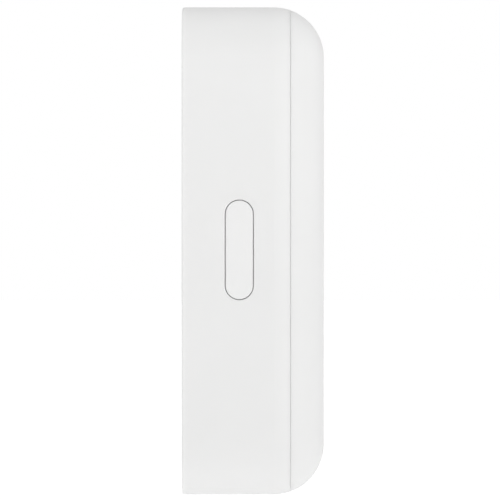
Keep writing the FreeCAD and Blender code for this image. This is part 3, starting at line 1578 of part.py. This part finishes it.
def charging_port():
    """The socket and its board, the rubber cover that swings down from it and the cover's fixed tail."""
    mouth = f"({FLOOR_Z} + housing_wall)"
    socket_z = f"({mouth} + socket_length/2 + 0.1)"
    back = "(port_depth - socket_height/2)"
    shell = block("socket_shell", "socket_width", "socket_height", "socket_length", "0", back, socket_z)
    room = block(
        "socket_room", "socket_width - 2*socket_wall", "socket_height - 2*socket_wall", "socket_length",
        "0",
        f"{back} + socket_wall", f"{socket_z} - 1.2",
    )
    tongue = block("socket_tongue", "6.4", "0.7", "5.6", "0", "port_depth - 0.35", f"{socket_z} + 0.6")
    sub_part("charging_socket", fuse("socket_solid", cut("socket_cut", shell, room), tongue))
    board = block(
        "port_board_block", "18", "board_thickness", "9", "0", f"{back} + socket_height", f"{mouth} + 5.2"
    )
    sub_part("port_board", board)

    lid_z = f"{FLOOR_Z} + flap_thickness/2"
    lid = block(
        "flap_lid", "flap_width", "flap_depth", "flap_thickness", "0", "port_depth - flap_depth/2", lid_z
    )
    plug = block(
        "flap_plug", "flap_plug_width", "flap_plug_depth", "flap_plug_height + 0.1", "0",
        "port_depth - flap_plug_depth/2",
        f"{FLOOR_Z} + flap_thickness + flap_plug_height/2 - 0.05",
    )
    bead = rod(
        "flap_bead", "flap_thickness/2", "flap_depth", "-flap_width/2", "port_depth - flap_depth/2", lid_z
    )
    free_end, fixed_end = number("flap_width/2"), number("-flap_width/2 - flap_tail")
    rounded = soften(
        "flap_rounded", lid, "flap_corner", lambda e: is_upright(e) and lies_at(e, "X", free_end)
    )
    sub_part("port_cover", fuse("flap_solid", rounded, bead, plug))
    tail_width = "(flap_tail - flap_thickness/2 - flap_gap - 0.1)"
    tail_x = f"-flap_width/2 - flap_tail + {tail_width}/2"
    tail = block(
        "flap_tail_block", tail_width, "flap_depth", "flap_thickness", tail_x, "port_depth - flap_depth/2",
        lid_z
    )
    ended = soften(
        "flap_tail_rounded", tail, "flap_corner", lambda e: is_upright(e) and lies_at(e, "X", fixed_end)
    )
    return sub_part("port_cover_tail", ended)


def build():
    """Makes every sub-part, checks it and writes its file."""
    for make in (
        wall_bracket, lock_screw, rear_housing, front_cover, housing_seal, cover_screws, wire_terminals,
        rear_label,
        side_button, side_switch_parts, front_window, camera, infrared_lamps, motion_sensor, bell_button,
        main_board,
        camera_ribbon, inner_leads, sound, battery, charging_port,
    ):
        make()
    doc.recompute()
    for thing in doc.Objects:
        if {"Invalid", "Error"} & set(thing.State):
            raise RuntimeError(f"{thing.Name} ({thing.Label}) did not compute: {thing.State}")
    os.makedirs("parts", exist_ok=True)
    for thing in sub_parts:
        shape = thing.Shape
        if shape.isNull() or not shape.isValid() or not shape.Solids:
            raise RuntimeError(f"{thing.Label} is not a valid solid")
    for thing in sub_parts:
        thing.Shape.exportStep(f"parts/{thing.Label}.step")
    print(f"{len(sub_parts)} sub-parts written")


build()
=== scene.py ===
import json
import math

import bmesh
import bpy
from mathutils import Matrix, Vector


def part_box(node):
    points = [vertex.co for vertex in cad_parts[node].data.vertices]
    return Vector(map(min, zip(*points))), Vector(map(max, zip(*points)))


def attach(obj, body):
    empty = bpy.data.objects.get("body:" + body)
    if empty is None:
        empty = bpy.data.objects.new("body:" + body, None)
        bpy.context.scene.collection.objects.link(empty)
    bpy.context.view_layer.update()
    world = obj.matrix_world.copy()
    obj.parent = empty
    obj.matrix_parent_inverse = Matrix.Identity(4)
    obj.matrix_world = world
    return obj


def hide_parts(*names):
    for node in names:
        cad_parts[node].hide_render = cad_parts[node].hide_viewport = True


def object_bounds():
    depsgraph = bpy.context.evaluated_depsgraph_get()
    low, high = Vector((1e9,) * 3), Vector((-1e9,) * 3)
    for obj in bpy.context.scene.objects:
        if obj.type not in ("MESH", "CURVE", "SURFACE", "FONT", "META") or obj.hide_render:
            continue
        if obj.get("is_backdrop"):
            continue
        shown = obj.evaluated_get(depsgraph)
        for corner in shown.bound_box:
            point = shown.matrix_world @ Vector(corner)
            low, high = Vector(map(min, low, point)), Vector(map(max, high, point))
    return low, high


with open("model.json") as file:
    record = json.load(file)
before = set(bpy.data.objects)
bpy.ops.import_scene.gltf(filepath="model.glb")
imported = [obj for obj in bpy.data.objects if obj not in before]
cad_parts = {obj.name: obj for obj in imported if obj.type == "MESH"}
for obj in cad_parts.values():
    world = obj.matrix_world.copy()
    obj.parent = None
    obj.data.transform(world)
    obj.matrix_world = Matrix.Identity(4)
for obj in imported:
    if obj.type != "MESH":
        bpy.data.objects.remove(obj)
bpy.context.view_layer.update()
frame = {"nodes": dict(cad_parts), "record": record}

MM = 0.001
AXES = {"X": 0, "Y": 1, "Z": 2}


# ---- finishes ----


class Finish:
    """One finish: a shader whose fixed values sit on its own sockets, and the patterns that vary it."""

    def __init__(self, name, colour, roughness, **fixed):
        self.material = bpy.data.materials.new(name)
        self.material.use_nodes = True
        self.nodes = self.material.node_tree.nodes
        self.links = self.material.node_tree.links
        self.shader = self.nodes["Principled BSDF"]
        self.colour = colour
        self.shader.inputs["Base Color"].default_value = (*colour, 1)
        self.shader.inputs["Roughness"].default_value = roughness
        for socket, value in fixed.items():
            self.shader.inputs[socket.replace("_", " ")].default_value = value
        self.place = self.nodes.new("ShaderNodeTexCoord").outputs["Object"]

    def add(self, kind, settings=None, **inputs):
        """A node with its settings made and its inputs linked or set."""
        node = self.nodes.new("ShaderNode" + kind)
        for name, value in (settings or {}).items():
            setattr(node, name, value)
        for name, value in inputs.items():
            socket = node.inputs[int(name[1:])] if name[0] == "_" else node.inputs[name]
            if isinstance(value, bpy.types.NodeSocket):
                self.links.new(value, socket)
            else:
                socket.default_value = value
        return node

    def maths(self, operation, *values):
        """The result of one sum on numbers and patterns."""
        inputs = {f"_{i}": value for i, value in enumerate(values)}
        return self.add("Math", {"operation": operation}, **inputs).outputs[0]

    def grain(self, size, detail=2.0, stretch=(1, 1, 1), roughness=0.5):
        """Cloudy grain with features of about this size."""
        place = self.place
        if stretch != (1, 1, 1):
            place = self.add("Mapping", Vector=self.place, Scale=stretch).outputs[0]
        node = self.add("TexNoise", Vector=place, Scale=1 / size, Detail=detail, Roughness=roughness)
        return node.outputs["Fac"]

    def cells(self, size):
        """Rounded cells of about this size: 0 at their middles."""
        return self.add("TexVoronoi", Vector=self.place, Scale=1 / size).outputs["Distance"]

    def along(self, axis):
        """The distance along one axis, in metres."""
        return self.add("SeparateXYZ", Vector=self.place).outputs[AXES[axis]]

    def wave(self, distance, pitch):
        """A smooth wave from 0 to 1 with this pitch."""
        turn = self.maths("MULTIPLY", distance, 2 * math.pi / pitch)
        return self.maths("MULTIPLY_ADD", self.maths("SINE", turn), 0.5, 0.5)

    def from_axis(self, centre, axis):
        """The distance from a line through centre along an axis."""
        flat = [1, 1, 1]
        flat[AXES[axis]] = 0
        moved = self.add("VectorMath", {"operation": "SUBTRACT"}, _0=self.place, _1=tuple(centre))
        level = self.add("VectorMath", {"operation": "MULTIPLY"}, _0=moved.outputs[0], _1=tuple(flat))
        return self.add("VectorMath", {"operation": "LENGTH"}, _0=level.outputs[0]).outputs["Value"]

    def spread(self, pattern, low, high, start=0.0, end=1.0):
        """The pattern's values from start to end, spread from low to high."""
        inputs = {"_0": pattern, "_1": start, "_2": end, "_3": low, "_4": high}
        return self.add("MapRange", {"clamp": True}, **inputs).outputs[0]

    def tint(self, pattern, first, second):
        """The colour goes from first to second as the pattern goes from 0 to 1."""
        previous = self.shader.inputs["Base Color"]
        if previous.is_linked and first is None:
            first = previous.links[0].from_socket
        elif first is None:
            first = (*self.colour, 1)
        else:
            first = (*first, 1)
        node = self.add("Mix", {"data_type": "RGBA"}, _0=pattern, _6=first, _7=(*second, 1))
        self.links.new(node.outputs[2], previous)

    def shine(self, pattern, low, high):
        """The roughness goes from low to high as the pattern goes from 0 to 1."""
        self.links.new(self.spread(pattern, low, high), self.shader.inputs["Roughness"])

    def relief(self, pattern, depth):
        """The pattern stands this far out of the surface."""
        node = self.add("Bump", Height=pattern, Distance=depth, Strength=1.0)
        if self.shader.inputs["Normal"].is_linked:
            self.links.new(self.shader.inputs["Normal"].links[0].from_socket, node.inputs["Normal"])
        self.links.new(node.outputs[0], self.shader.inputs["Normal"])


def shade(colour, share):
    """The colour made this much lighter or darker."""
    return tuple(min(1.0, max(0.0, part * share)) for part in colour)


def moulded(name, colour, roughness, grain=0.22, depth=0.0022, cloud=0.012):
    """Moulded plastic: a spark-eroded texture, faint flow clouds and places worn smoother by hands."""
    finish = Finish(
        name, colour, roughness,
        Subsurface_Weight=1.0, Subsurface_Scale=1 * MM, Subsurface_Radius=(1, 1, 1),
    )
    finish.tint(finish.grain(16 * MM, 1), shade(colour, 1 - cloud), shade(colour, 1 + cloud))
    finish.shine(finish.grain(5 * MM, 3), roughness - 0.07, roughness + 0.07)
    finish.relief(finish.grain(grain * MM, 3, roughness=0.65), depth * MM)
    return finish


def metal(name, colour, roughness, axis=None, pitch=0.16):
    """Plated or rolled metal: fine marks drawn along an axis, and a mottled plating."""
    finish = Finish(name, colour, roughness, Metallic=1.0)
    stretch = [1, 1, 1]
    if axis:
        stretch[AXES[axis]] = 0.04
    finish.tint(finish.grain(2.5 * MM, 3), shade(colour, 0.88), shade(colour, 1.08))
    marks = finish.grain(pitch * MM, 3, tuple(stretch))
    finish.shine(marks, roughness - 0.1, roughness + 0.14)
    finish.relief(marks, 0.002 * MM)
    return finish


def rubber(name, colour, roughness=0.62):
    """Rubber: a soft matt skin with a fine bloom."""
    finish = Finish(name, colour, roughness, Specular_IOR_Level=0.35)
    finish.tint(finish.grain(3 * MM, 3), shade(colour, 0.95), shade(colour, 1.04))
    finish.shine(finish.grain(1.2 * MM, 3), roughness - 0.08, roughness + 0.1)
    finish.relief(finish.grain(0.12 * MM, 2), 0.003 * MM)
    return finish


def clear(name, colour, roughness, ior, cloud, **fixed):
    """Clear glass or plastic with a faint unevenness of polish."""
    finish = Finish(name, colour, roughness, IOR=ior, Transmission_Weight=1.0, **fixed)
    finish.shine(finish.grain(7 * MM, 3), roughness, roughness + cloud)
    finish.relief(finish.grain(3 * MM, 1), 0.0004 * MM)
    return finish


def window_clear():
    """The front window's sheet, which reflects little."""
    return clear("window_clear", (0.97, 0.985, 0.98), 0.0, 1.2, 0.004)


def black_print():
    """The black ink behind the window."""
    finish = Finish("black_print", (0.005, 0.005, 0.006), 0.35, Specular_IOR_Level=0.1)
    finish.tint(finish.grain(9 * MM, 2), (0.004, 0.004, 0.005), (0.0065, 0.0065, 0.0075))
    finish.shine(finish.grain(4 * MM, 2), 0.3, 0.42)
    return finish


def milky_plastic():
    """Cloudy plastic that spreads light."""
    finish = Finish(
        "milky_plastic", (0.84, 0.87, 0.89), 0.28, IOR=1.49, Subsurface_Weight=0.6, Subsurface_Scale=0.0015,
    )
    finish.tint(finish.grain(4 * MM, 3), (0.82, 0.86, 0.885), (0.87, 0.89, 0.905))
    finish.shine(finish.grain(1.5 * MM, 3), 0.22, 0.34)
    finish.relief(finish.grain(0.15 * MM, 2), 0.0012 * MM)
    return finish


def sensor_lens_plastic():
    """Dark plastic that lets heat through, finely ringed about the lens's middle."""
    low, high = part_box("motion_lens")
    finish = Finish(
        "sensor_lens_plastic", (0.05, 0.05, 0.056), 0.3, IOR=1.51, Coat_Weight=0.25, Coat_Roughness=0.15,
    )
    radius = finish.from_axis((low + high) / 2, "Y")
    finish.tint(finish.wave(radius, 0.65 * MM), (0.026, 0.026, 0.03), (0.042, 0.042, 0.047))
    finish.shine(finish.grain(1.0 * MM, 2), 0.24, 0.38)
    finish.relief(finish.wave(radius, 0.16 * MM), 0.0015 * MM)
    return finish


def foam():
    """Black foam with open pores."""
    finish = Finish("foam", (0.045, 0.045, 0.045), 0.9, Sheen_Weight=0.3, Sheen_Roughness=0.6)
    pores = finish.cells(0.35 * MM)
    finish.tint(pores, (0.09, 0.09, 0.09), (0.02, 0.02, 0.02))
    finish.shine(finish.grain(0.6 * MM, 2), 0.8, 0.98)
    finish.relief(pores, 0.09 * MM)
    return finish


def circuit_board(name, mask, track):
    """Solder mask over straight copper tracks, with tinned holes."""
    finish = Finish(name, mask, 0.32, Coat_Weight=0.3, Coat_Roughness=0.12)
    upright, level = (1, 1, 0.15), (0.15, 1, 1)
    lanes = finish.maths(
        "MULTIPLY", finish.wave(finish.along("X"), 1.1 * MM), finish.grain(5 * MM, 0, upright),
    )
    rows = finish.maths(
        "MULTIPLY", finish.wave(finish.along("Z"), 1.3 * MM), finish.grain(6 * MM, 0, level),
    )
    tracks = finish.spread(finish.maths("MAXIMUM", lanes, rows), 0, 1, 0.42, 0.46)
    finish.tint(tracks, mask, track)
    holes = finish.spread(finish.cells(3.1 * MM), 1, 0, 0.085, 0.1)
    finish.tint(holes, None, (0.72, 0.68, 0.5))
    finish.shine(finish.grain(0.8 * MM, 2), 0.26, 0.4)
    finish.relief(tracks, 0.02 * MM)
    finish.relief(finish.grain(0.3 * MM, 2), 0.002 * MM)
    return finish


def chip_black():
    """The matt black casing of chips."""
    finish = Finish("chip_black", (0.03, 0.03, 0.032), 0.5)
    finish.tint(finish.grain(0.12 * MM, 3), (0.022, 0.022, 0.024), (0.05, 0.05, 0.052))
    finish.shine(finish.grain(0.4 * MM, 2), 0.42, 0.62)
    finish.relief(finish.grain(0.07 * MM, 3), 0.005 * MM)
    return finish


def lamp_lens():
    """The clear dome of a small lamp."""
    finish = clear("lamp_lens", (0.93, 0.94, 0.97), 0.04, 1.54, 0.08)
    finish.tint(finish.cells(0.5 * MM), (0.96, 0.96, 0.98), (0.85, 0.87, 0.93))
    return finish


def lens_glass():
    """Coated lens glass with a violet sheen, and painted shade that makes its colour darker towards the rim.
    """
    low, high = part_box("front_lens")
    finish = Finish(
        "lens_glass", (0.5, 0.56, 0.7), 0.01,
        IOR=1.6, Transmission_Weight=1.0, Specular_Tint=(0.5, 0.45, 1.0, 1.0),
    )
    radius = finish.from_axis((low + high) / 2, "Y")
    # painted shade: the glass colour darkens from the lens's middle out to its rim
    finish.tint(finish.spread(radius, 0, 1, 0, 4.4 * MM), (0.42, 0.48, 0.66), (0.2, 0.23, 0.36))
    finish.shine(finish.grain(6 * MM, 2), 0.004, 0.02)
    return finish


def filter_glass():
    """Pale blue-green glass that holds infrared light back."""
    finish = clear("filter_glass", (0.62, 0.85, 0.88), 0.01, 1.52, 0.02, Specular_Tint=(1.0, 0.55, 0.5, 1.0))
    finish.tint(finish.grain(4 * MM, 1), (0.6, 0.84, 0.88), (0.72, 0.86, 0.84))
    return finish


def ribbon_film():
    """Amber film with copper tracks along it."""
    finish = Finish("ribbon_film", (0.55, 0.27, 0.06), 0.28, Coat_Weight=0.4, Coat_Roughness=0.1)
    tracks = finish.spread(finish.wave(finish.along("X"), 0.5 * MM), 0, 1, 0.45, 0.6)
    finish.tint(tracks, (0.5, 0.2, 0.03), (0.68, 0.36, 0.1))
    finish.shine(finish.grain(1 * MM, 2), 0.22, 0.36)
    finish.relief(tracks, 0.01 * MM)
    return finish


def wire_sleeve():
    """One lead red and one black."""
    low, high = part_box("inner_leads")
    red, black = (0.5, 0.03, 0.025), (0.03, 0.03, 0.032)
    finish = rubber("wire_sleeve", red, 0.4)
    second_lead = finish.maths("GREATER_THAN", finish.along("X"), (low.x + high.x) / 2)
    finish.tint(second_lead, red, black)
    return finish


def cell_sleeve():
    """Blue shrink film round each cell, with bare metal at both ends."""
    low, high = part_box("battery_cells")
    blue, steel = (0.05, 0.2, 0.42), (0.62, 0.61, 0.58)
    finish = Finish("cell_sleeve", blue, 0.3, Coat_Weight=0.5, Coat_Roughness=0.08)
    height = finish.along("Z")
    margin = 1.2 * MM
    over_base = finish.maths("GREATER_THAN", height, low.z + margin)
    under_top = finish.maths("LESS_THAN", height, high.z - margin)
    sleeve = finish.maths("MULTIPLY", over_base, under_top)
    finish.tint(sleeve, steel, blue)
    finish.links.new(finish.spread(sleeve, 1, 0), finish.shader.inputs["Metallic"])
    finish.shine(finish.grain(2 * MM, 3), 0.22, 0.4)
    finish.relief(finish.grain(0.9 * MM, 3, (1, 1, 0.2)), 0.012 * MM)
    return finish


def cone_film():
    """The speaker cone's black film, pressed into rings."""
    low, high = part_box("speaker_cone")
    finish = Finish("cone_film", (0.04, 0.04, 0.045), 0.35, Coat_Weight=0.4, Coat_Roughness=0.2)
    radius = finish.from_axis((low + high) / 2, "Y")
    finish.tint(finish.grain(2 * MM, 2), (0.032, 0.032, 0.036), (0.055, 0.055, 0.06))
    finish.shine(finish.grain(0.7 * MM, 2), 0.28, 0.45)
    finish.relief(finish.wave(radius, 0.8 * MM), 0.03 * MM)
    return finish


def label_film():
    """A blank label with a thin grey border."""
    low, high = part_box("rear_label")
    middle = (low + high) / 2
    finish = Finish("label_film", (0.78, 0.78, 0.78), 0.38, Coat_Weight=0.3, Coat_Roughness=0.2)
    across = finish.maths("ABSOLUTE", finish.maths("SUBTRACT", finish.along("X"), middle.x))
    up = finish.maths("ABSOLUTE", finish.maths("SUBTRACT", finish.along("Z"), middle.z))
    to_side = finish.maths("SUBTRACT", (high.x - low.x) / 2, across)
    to_end = finish.maths("SUBTRACT", (high.z - low.z) / 2, up)
    to_edge = finish.maths("MINIMUM", to_side, to_end)
    border_inset, half_line = 1.1 * MM, 0.14 * MM
    from_line = finish.maths("ABSOLUTE", finish.maths("SUBTRACT", to_edge, border_inset))
    border = finish.maths("LESS_THAN", from_line, half_line)
    finish.tint(border, (0.79, 0.79, 0.79), (0.42, 0.43, 0.45))
    finish.shine(finish.grain(3 * MM, 3), 0.32, 0.48)
    finish.relief(finish.grain(0.08 * MM, 2), 0.002 * MM)
    return finish


HOUSING_WHITE = (0.8, 0.8, 0.797)
BUTTON_WHITE = (0.815, 0.815, 0.812)

FINISHES = {
    "housing_plastic": lambda: moulded("housing_plastic", HOUSING_WHITE, 0.5),
    "cover_plastic": lambda: moulded("cover_plastic", HOUSING_WHITE, 0.46),
    "button_plastic": lambda: moulded("button_plastic", BUTTON_WHITE, 0.44, 0.18, 0.0015),
    "bell_plastic": lambda: moulded("bell_plastic", BUTTON_WHITE, 0.34, 0.16, 0.001),
    "bracket_plastic": lambda: moulded("bracket_plastic", (0.6, 0.61, 0.62), 0.52, 0.3, 0.006, 0.04),
    "zinc_screw": lambda: metal("zinc_screw", (0.62, 0.63, 0.65), 0.3),
    "window_clear": window_clear,
    "black_print": black_print,
    "milky_plastic": milky_plastic,
    "sensor_lens_plastic": sensor_lens_plastic,
    "silicone": lambda: rubber("silicone", (0.35, 0.36, 0.37)),
    "white_rubber": lambda: rubber("white_rubber", (0.78, 0.78, 0.775)),
    "foam": foam,
    "board_green": lambda: circuit_board("board_green", (0.012, 0.12, 0.05), (0.03, 0.2, 0.09)),
    "board_white": lambda: circuit_board("board_white", (0.78, 0.78, 0.76), (0.7, 0.7, 0.68)),
    "chip_black": chip_black,
    "connector_plastic": lambda: moulded("connector_plastic", (0.8, 0.77, 0.66), 0.45, 0.15, 0.002, 0.03),
    "tin_plate": lambda: metal("tin_plate", (0.68, 0.68, 0.66), 0.26, "X", 0.3),
    "lamp_lens": lamp_lens,
    "lens_glass": lens_glass,
    "filter_glass": filter_glass,
    "black_plastic": lambda: moulded("black_plastic", (0.018, 0.018, 0.02), 0.42, 0.2, 0.004, 0.2),
    "ribbon_film": ribbon_film,
    "wire_sleeve": wire_sleeve,
    "cell_sleeve": cell_sleeve,
    "cradle_plastic": lambda: moulded("cradle_plastic", (0.09, 0.09, 0.1), 0.5, 0.3, 0.006, 0.08),
    "nickel": lambda: metal("nickel", (0.72, 0.69, 0.63), 0.24, "X", 0.2),
    "cone_film": cone_film,
    "label_film": label_film,
}


def finish_nodes():
    """Gives every CAD node the finish of its material slot, and returns the finishes by slot."""
    made = {slot: make().material for slot, make in FINISHES.items()}
    for part in frame["record"]["subparts"]:
        node = frame["nodes"][part["node"]]
        if not node.data.materials:
            node.data.materials.append(None)
        for slot in node.material_slots:
            slot.material = made[part["material_slot"]]
    return made


# ---- pieces ----

SHARP_ANGLE = math.radians(32)
STEPS_ROUND = 96


def make_piece(name, shape, slot, body):
    """A piece from its finished bmesh, with its finish, its slot and the body that it rides on."""
    mesh = bpy.data.meshes.new(name)
    shape.to_mesh(mesh)
    shape.free()
    mesh.set_sharp_from_angle(angle=SHARP_ANGLE)
    piece = bpy.data.objects.new(name, mesh)
    bpy.context.scene.collection.objects.link(piece)
    piece.data.materials.append(materials[slot])
    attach(piece, body)
    return piece


def turned(profile, centre):
    """A profile of radius and depth (towards the front), spun round a line along Y through centre."""
    shape = bmesh.new()
    corners = [shape.verts.new((radius, -depth, 0)) for radius, depth in profile]
    edges = [shape.edges.new(pair) for pair in zip(corners, corners[1:])]
    bmesh.ops.spin(
        shape, geom=corners + edges, cent=(0, 0, 0), axis=(0, 1, 0), dvec=(0, 0, 0),
        angle=2 * math.pi, steps=STEPS_ROUND, use_merge=True, use_duplicate=False,
    )
    bmesh.ops.remove_doubles(shape, verts=shape.verts, dist=1e-7)
    bmesh.ops.translate(shape, verts=shape.verts, vec=centre)
    bmesh.ops.recalc_face_normals(shape, faces=shape.faces)
    return shape


def motion_lens_facets():
    """The heat sensor's lens: a low dome of ring-shaped facets, with a flange behind the cover."""
    low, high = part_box("motion_lens")
    centre = (low + high) / 2
    front, back = -low.y, -high.y
    flange, lip, wall = (high.x - low.x) / 2, 1.4 * MM, 0.8 * MM
    radius = flange - lip
    rings, face = 9, radius - 0.7 * MM
    drop, riser, lean, edge = 0.55 * MM, 0.07 * MM, 0.02 * MM, 0.1 * MM
    profile = [(0, front)]
    for ring in range(1, rings + 1):
        share = ring / rings
        level = front - drop * share * share
        profile.append((face * share, level))
        profile.append((face * share + lean, level - riser))
    profile += [
        (radius - 0.35 * MM, front - drop - 0.12 * MM),
        (radius - 0.08 * MM, front - drop - 0.3 * MM),
        (radius, front - drop - 0.6 * MM),
        (radius, back + wall),
        (flange - edge, back + wall),
        (flange, back + wall - edge),
        (flange, back),
        (radius - wall, back),
        (radius - wall, front - drop - wall),
        (0, front - wall),
    ]
    shape = turned(profile, (centre.x, 0, centre.z))
    piece = make_piece("motion_lens_facets", shape, "sensor_lens_plastic", "doorbell")
    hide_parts("motion_lens")


def lens_baffle():
    """The stepped black ring round the camera's front lens, which keeps stray light out."""
    low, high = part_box("lens_barrel")
    centre, seat = (low + high) / 2, -low.y
    inner, outer = 5.3 * MM, 6.72 * MM
    steps, rise, width = 5, 0.09 * MM, 0.24 * MM
    first, lean, edge = 0.06 * MM, 0.02 * MM, 0.08 * MM
    top = seat + steps * rise
    profile = [(inner, seat)]
    for step in range(steps):
        at, level = inner + first + step * width, seat + (step + 1) * rise
        profile.append((at, level))
        profile.append((at + width * 0.75, level - lean))
    profile += [(outer - edge, top), (outer, top - edge), (outer, seat), (inner, seat)]
    make_piece("lens_baffle", turned(profile, (centre.x, 0, centre.z)), "black_plastic", "doorbell")


def speaker_mesh():
    """The woven metal mesh behind the speaker's slots."""
    low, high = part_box("speaker_gasket")
    rim, gap, pitch, wire, behind = 1.5 * MM, 0.12 * MM, 0.62 * MM, 0.11 * MM, 0.35 * MM
    wide, tall = high.x - low.x - 2 * rim - 2 * gap, high.z - low.z - 2 * rim - 2 * gap
    across, up = round(wide / pitch), round(tall / pitch)
    middle = (low + high) / 2
    upright = Matrix.Rotation(math.pi / 2, 3, "X")
    shape = bmesh.new()
    bmesh.ops.create_grid(shape, x_segments=across, y_segments=up, size=0.5)
    bmesh.ops.scale(shape, verts=shape.verts, vec=(wide, tall, 1))
    bmesh.ops.rotate(shape, verts=shape.verts, cent=(0, 0, 0), matrix=upright)
    bmesh.ops.translate(shape, verts=shape.verts, vec=(middle.x, low.y + behind, middle.z))
    bmesh.ops.wireframe(
        shape, faces=shape.faces[:], thickness=wire * 2, offset=0, use_replace=True, use_boundary=True,
        use_even_offset=True, use_crease=False, crease_weight=0, use_relative_offset=False,
        material_offset=0,
    )
    make_piece("speaker_mesh", shape, "black_plastic", "doorbell")


def lock_screw_thread():
    """The thread of the lock screw, one ridge wound round its shaft."""
    low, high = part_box("lock_screw")
    root, crest, pitch, per_turn = 1.46 * MM, 1.57 * MM, 0.5 * MM, 24
    head, tip = 2.0 * MM, 1.1 * MM
    start, end = low.z + head, high.z - tip
    turns = int((end - start) / pitch)
    middle = (low + high) / 2
    shape = bmesh.new()
    ridge = [(root, -0.17), (crest, -0.02), (crest, 0.02), (root, 0.17)]
    corners = [shape.verts.new((radius, 0, height * MM)) for radius, height in ridge]
    face = shape.faces.new(corners)
    bmesh.ops.spin(
        shape, geom=[face], cent=(0, 0, 0), axis=(0, 0, 1), dvec=(0, 0, pitch / per_turn),
        angle=2 * math.pi * turns, steps=turns * per_turn, use_merge=False, use_duplicate=False,
    )
    bmesh.ops.translate(shape, verts=shape.verts, vec=(middle.x, middle.y, start))
    bmesh.ops.recalc_face_normals(shape, faces=shape.faces)
    make_piece("lock_screw_thread", shape, "zinc_screw", "lock_screw")


# ---- studio ----

FLOOR_DROP = 22 * MM
FLOOR_REACH = 6
LAMP_DISTANCE = 1.4
SURROUND_SEEN, SURROUND_LIT = 1.0, 0.72
CAMERA_PLACE = (-1.1, -0.01667, 0.00021)
CAMERA_LENS, SENSOR_WIDTH = 316.5, 36


def pale_floor():
    """A wide pale floor, low enough for the lock screw and the port's cover to come down."""
    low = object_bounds()[0]
    shape = bmesh.new()
    bmesh.ops.create_grid(shape, x_segments=1, y_segments=1, size=FLOOR_REACH)
    bmesh.ops.translate(shape, verts=shape.verts, vec=(0, 0, low.z - FLOOR_DROP))
    mesh = bpy.data.meshes.new("pale_floor")
    shape.to_mesh(mesh)
    shape.free()
    floor = bpy.data.objects.new("pale_floor", mesh)
    bpy.context.scene.collection.objects.link(floor)
    finish = Finish("floor_paper", (0.5, 0.5, 0.5), 0.9, Emission_Color=(1, 1, 1, 1))
    near, far, near_glow, far_glow = 0.1, 0.8, 0.59, 0.78
    glow = finish.spread(finish.from_axis((0, 0, 0), "Z"), near_glow, far_glow, near, far)
    finish.links.new(glow, finish.shader.inputs["Emission Strength"])
    finish.tint(finish.grain(60 * MM, 3), (0.49, 0.49, 0.49), (0.51, 0.51, 0.51))
    finish.relief(finish.grain(1.5 * MM, 3), 0.02 * MM)
    floor.data.materials.append(finish.material)
    floor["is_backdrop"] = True


def soft_light(name, towards, size, power):
    """A large soft lamp in this direction from the doorbell, aimed at it."""
    lamp = bpy.data.lights.new(name, "AREA")
    lamp.shape = "SQUARE"
    lamp.size = size
    lamp.energy = power
    light = bpy.data.objects.new(name, lamp)
    bpy.context.scene.collection.objects.link(light)
    direction = Vector(towards).normalized()
    light.location = direction * LAMP_DISTANCE
    light.rotation_euler = direction.to_track_quat("Z", "Y").to_euler()
    light.visible_camera = False


def studio():
    """A white surround, with large soft lamps that are a little stronger on the button's side."""
    world = bpy.data.worlds.new("white_surround")
    bpy.context.scene.world = world
    world.use_nodes = True
    nodes, links = world.node_tree.nodes, world.node_tree.links
    seen = nodes["Background"]
    seen.inputs["Strength"].default_value = SURROUND_SEEN
    seen.inputs["Color"].default_value = (1, 1, 1, 1)
    lit = nodes.new("ShaderNodeBackground")
    lit.inputs["Strength"].default_value = SURROUND_LIT
    mix = nodes.new("ShaderNodeMixShader")
    links.new(nodes.new("ShaderNodeLightPath").outputs["Is Camera Ray"], mix.inputs[0])
    links.new(lit.outputs[0], mix.inputs[1])
    links.new(seen.outputs[0], mix.inputs[2])
    links.new(mix.outputs[0], nodes["World Output"].inputs["Surface"])
    soft_light("side_lamp", (-0.9, -0.42, 0.12), 1.1, 6.9)
    soft_light("top_lamp", (-0.25, -0.05, 1), 1.2, 4.0)
    soft_light("front_lamp", (0.35, -1, 0.5), 0.9, 0.4)
    soft_light("back_lamp", (0.5, 0.8, 0.7), 0.9, 1.0)
    scene = bpy.context.scene
    scene.view_settings.view_transform = "Standard"
    scene.view_settings.look = "None"


def side_camera():
    """The camera square to the button's side, far enough back that the depth hardly narrows."""
    lens = bpy.data.cameras.new("side_camera")
    lens.sensor_width = SENSOR_WIDTH
    lens.lens = CAMERA_LENS
    camera = bpy.data.objects.new("side_camera", lens)
    bpy.context.scene.collection.objects.link(camera)
    camera.location = CAMERA_PLACE
    camera.rotation_euler = (math.pi / 2, 0, -math.pi / 2)
    bpy.context.scene.camera = camera


side_camera()
studio()
materials = finish_nodes()
motion_lens_facets()
lens_baffle()
speaker_mesh()
lock_screw_thread()
pale_floor()
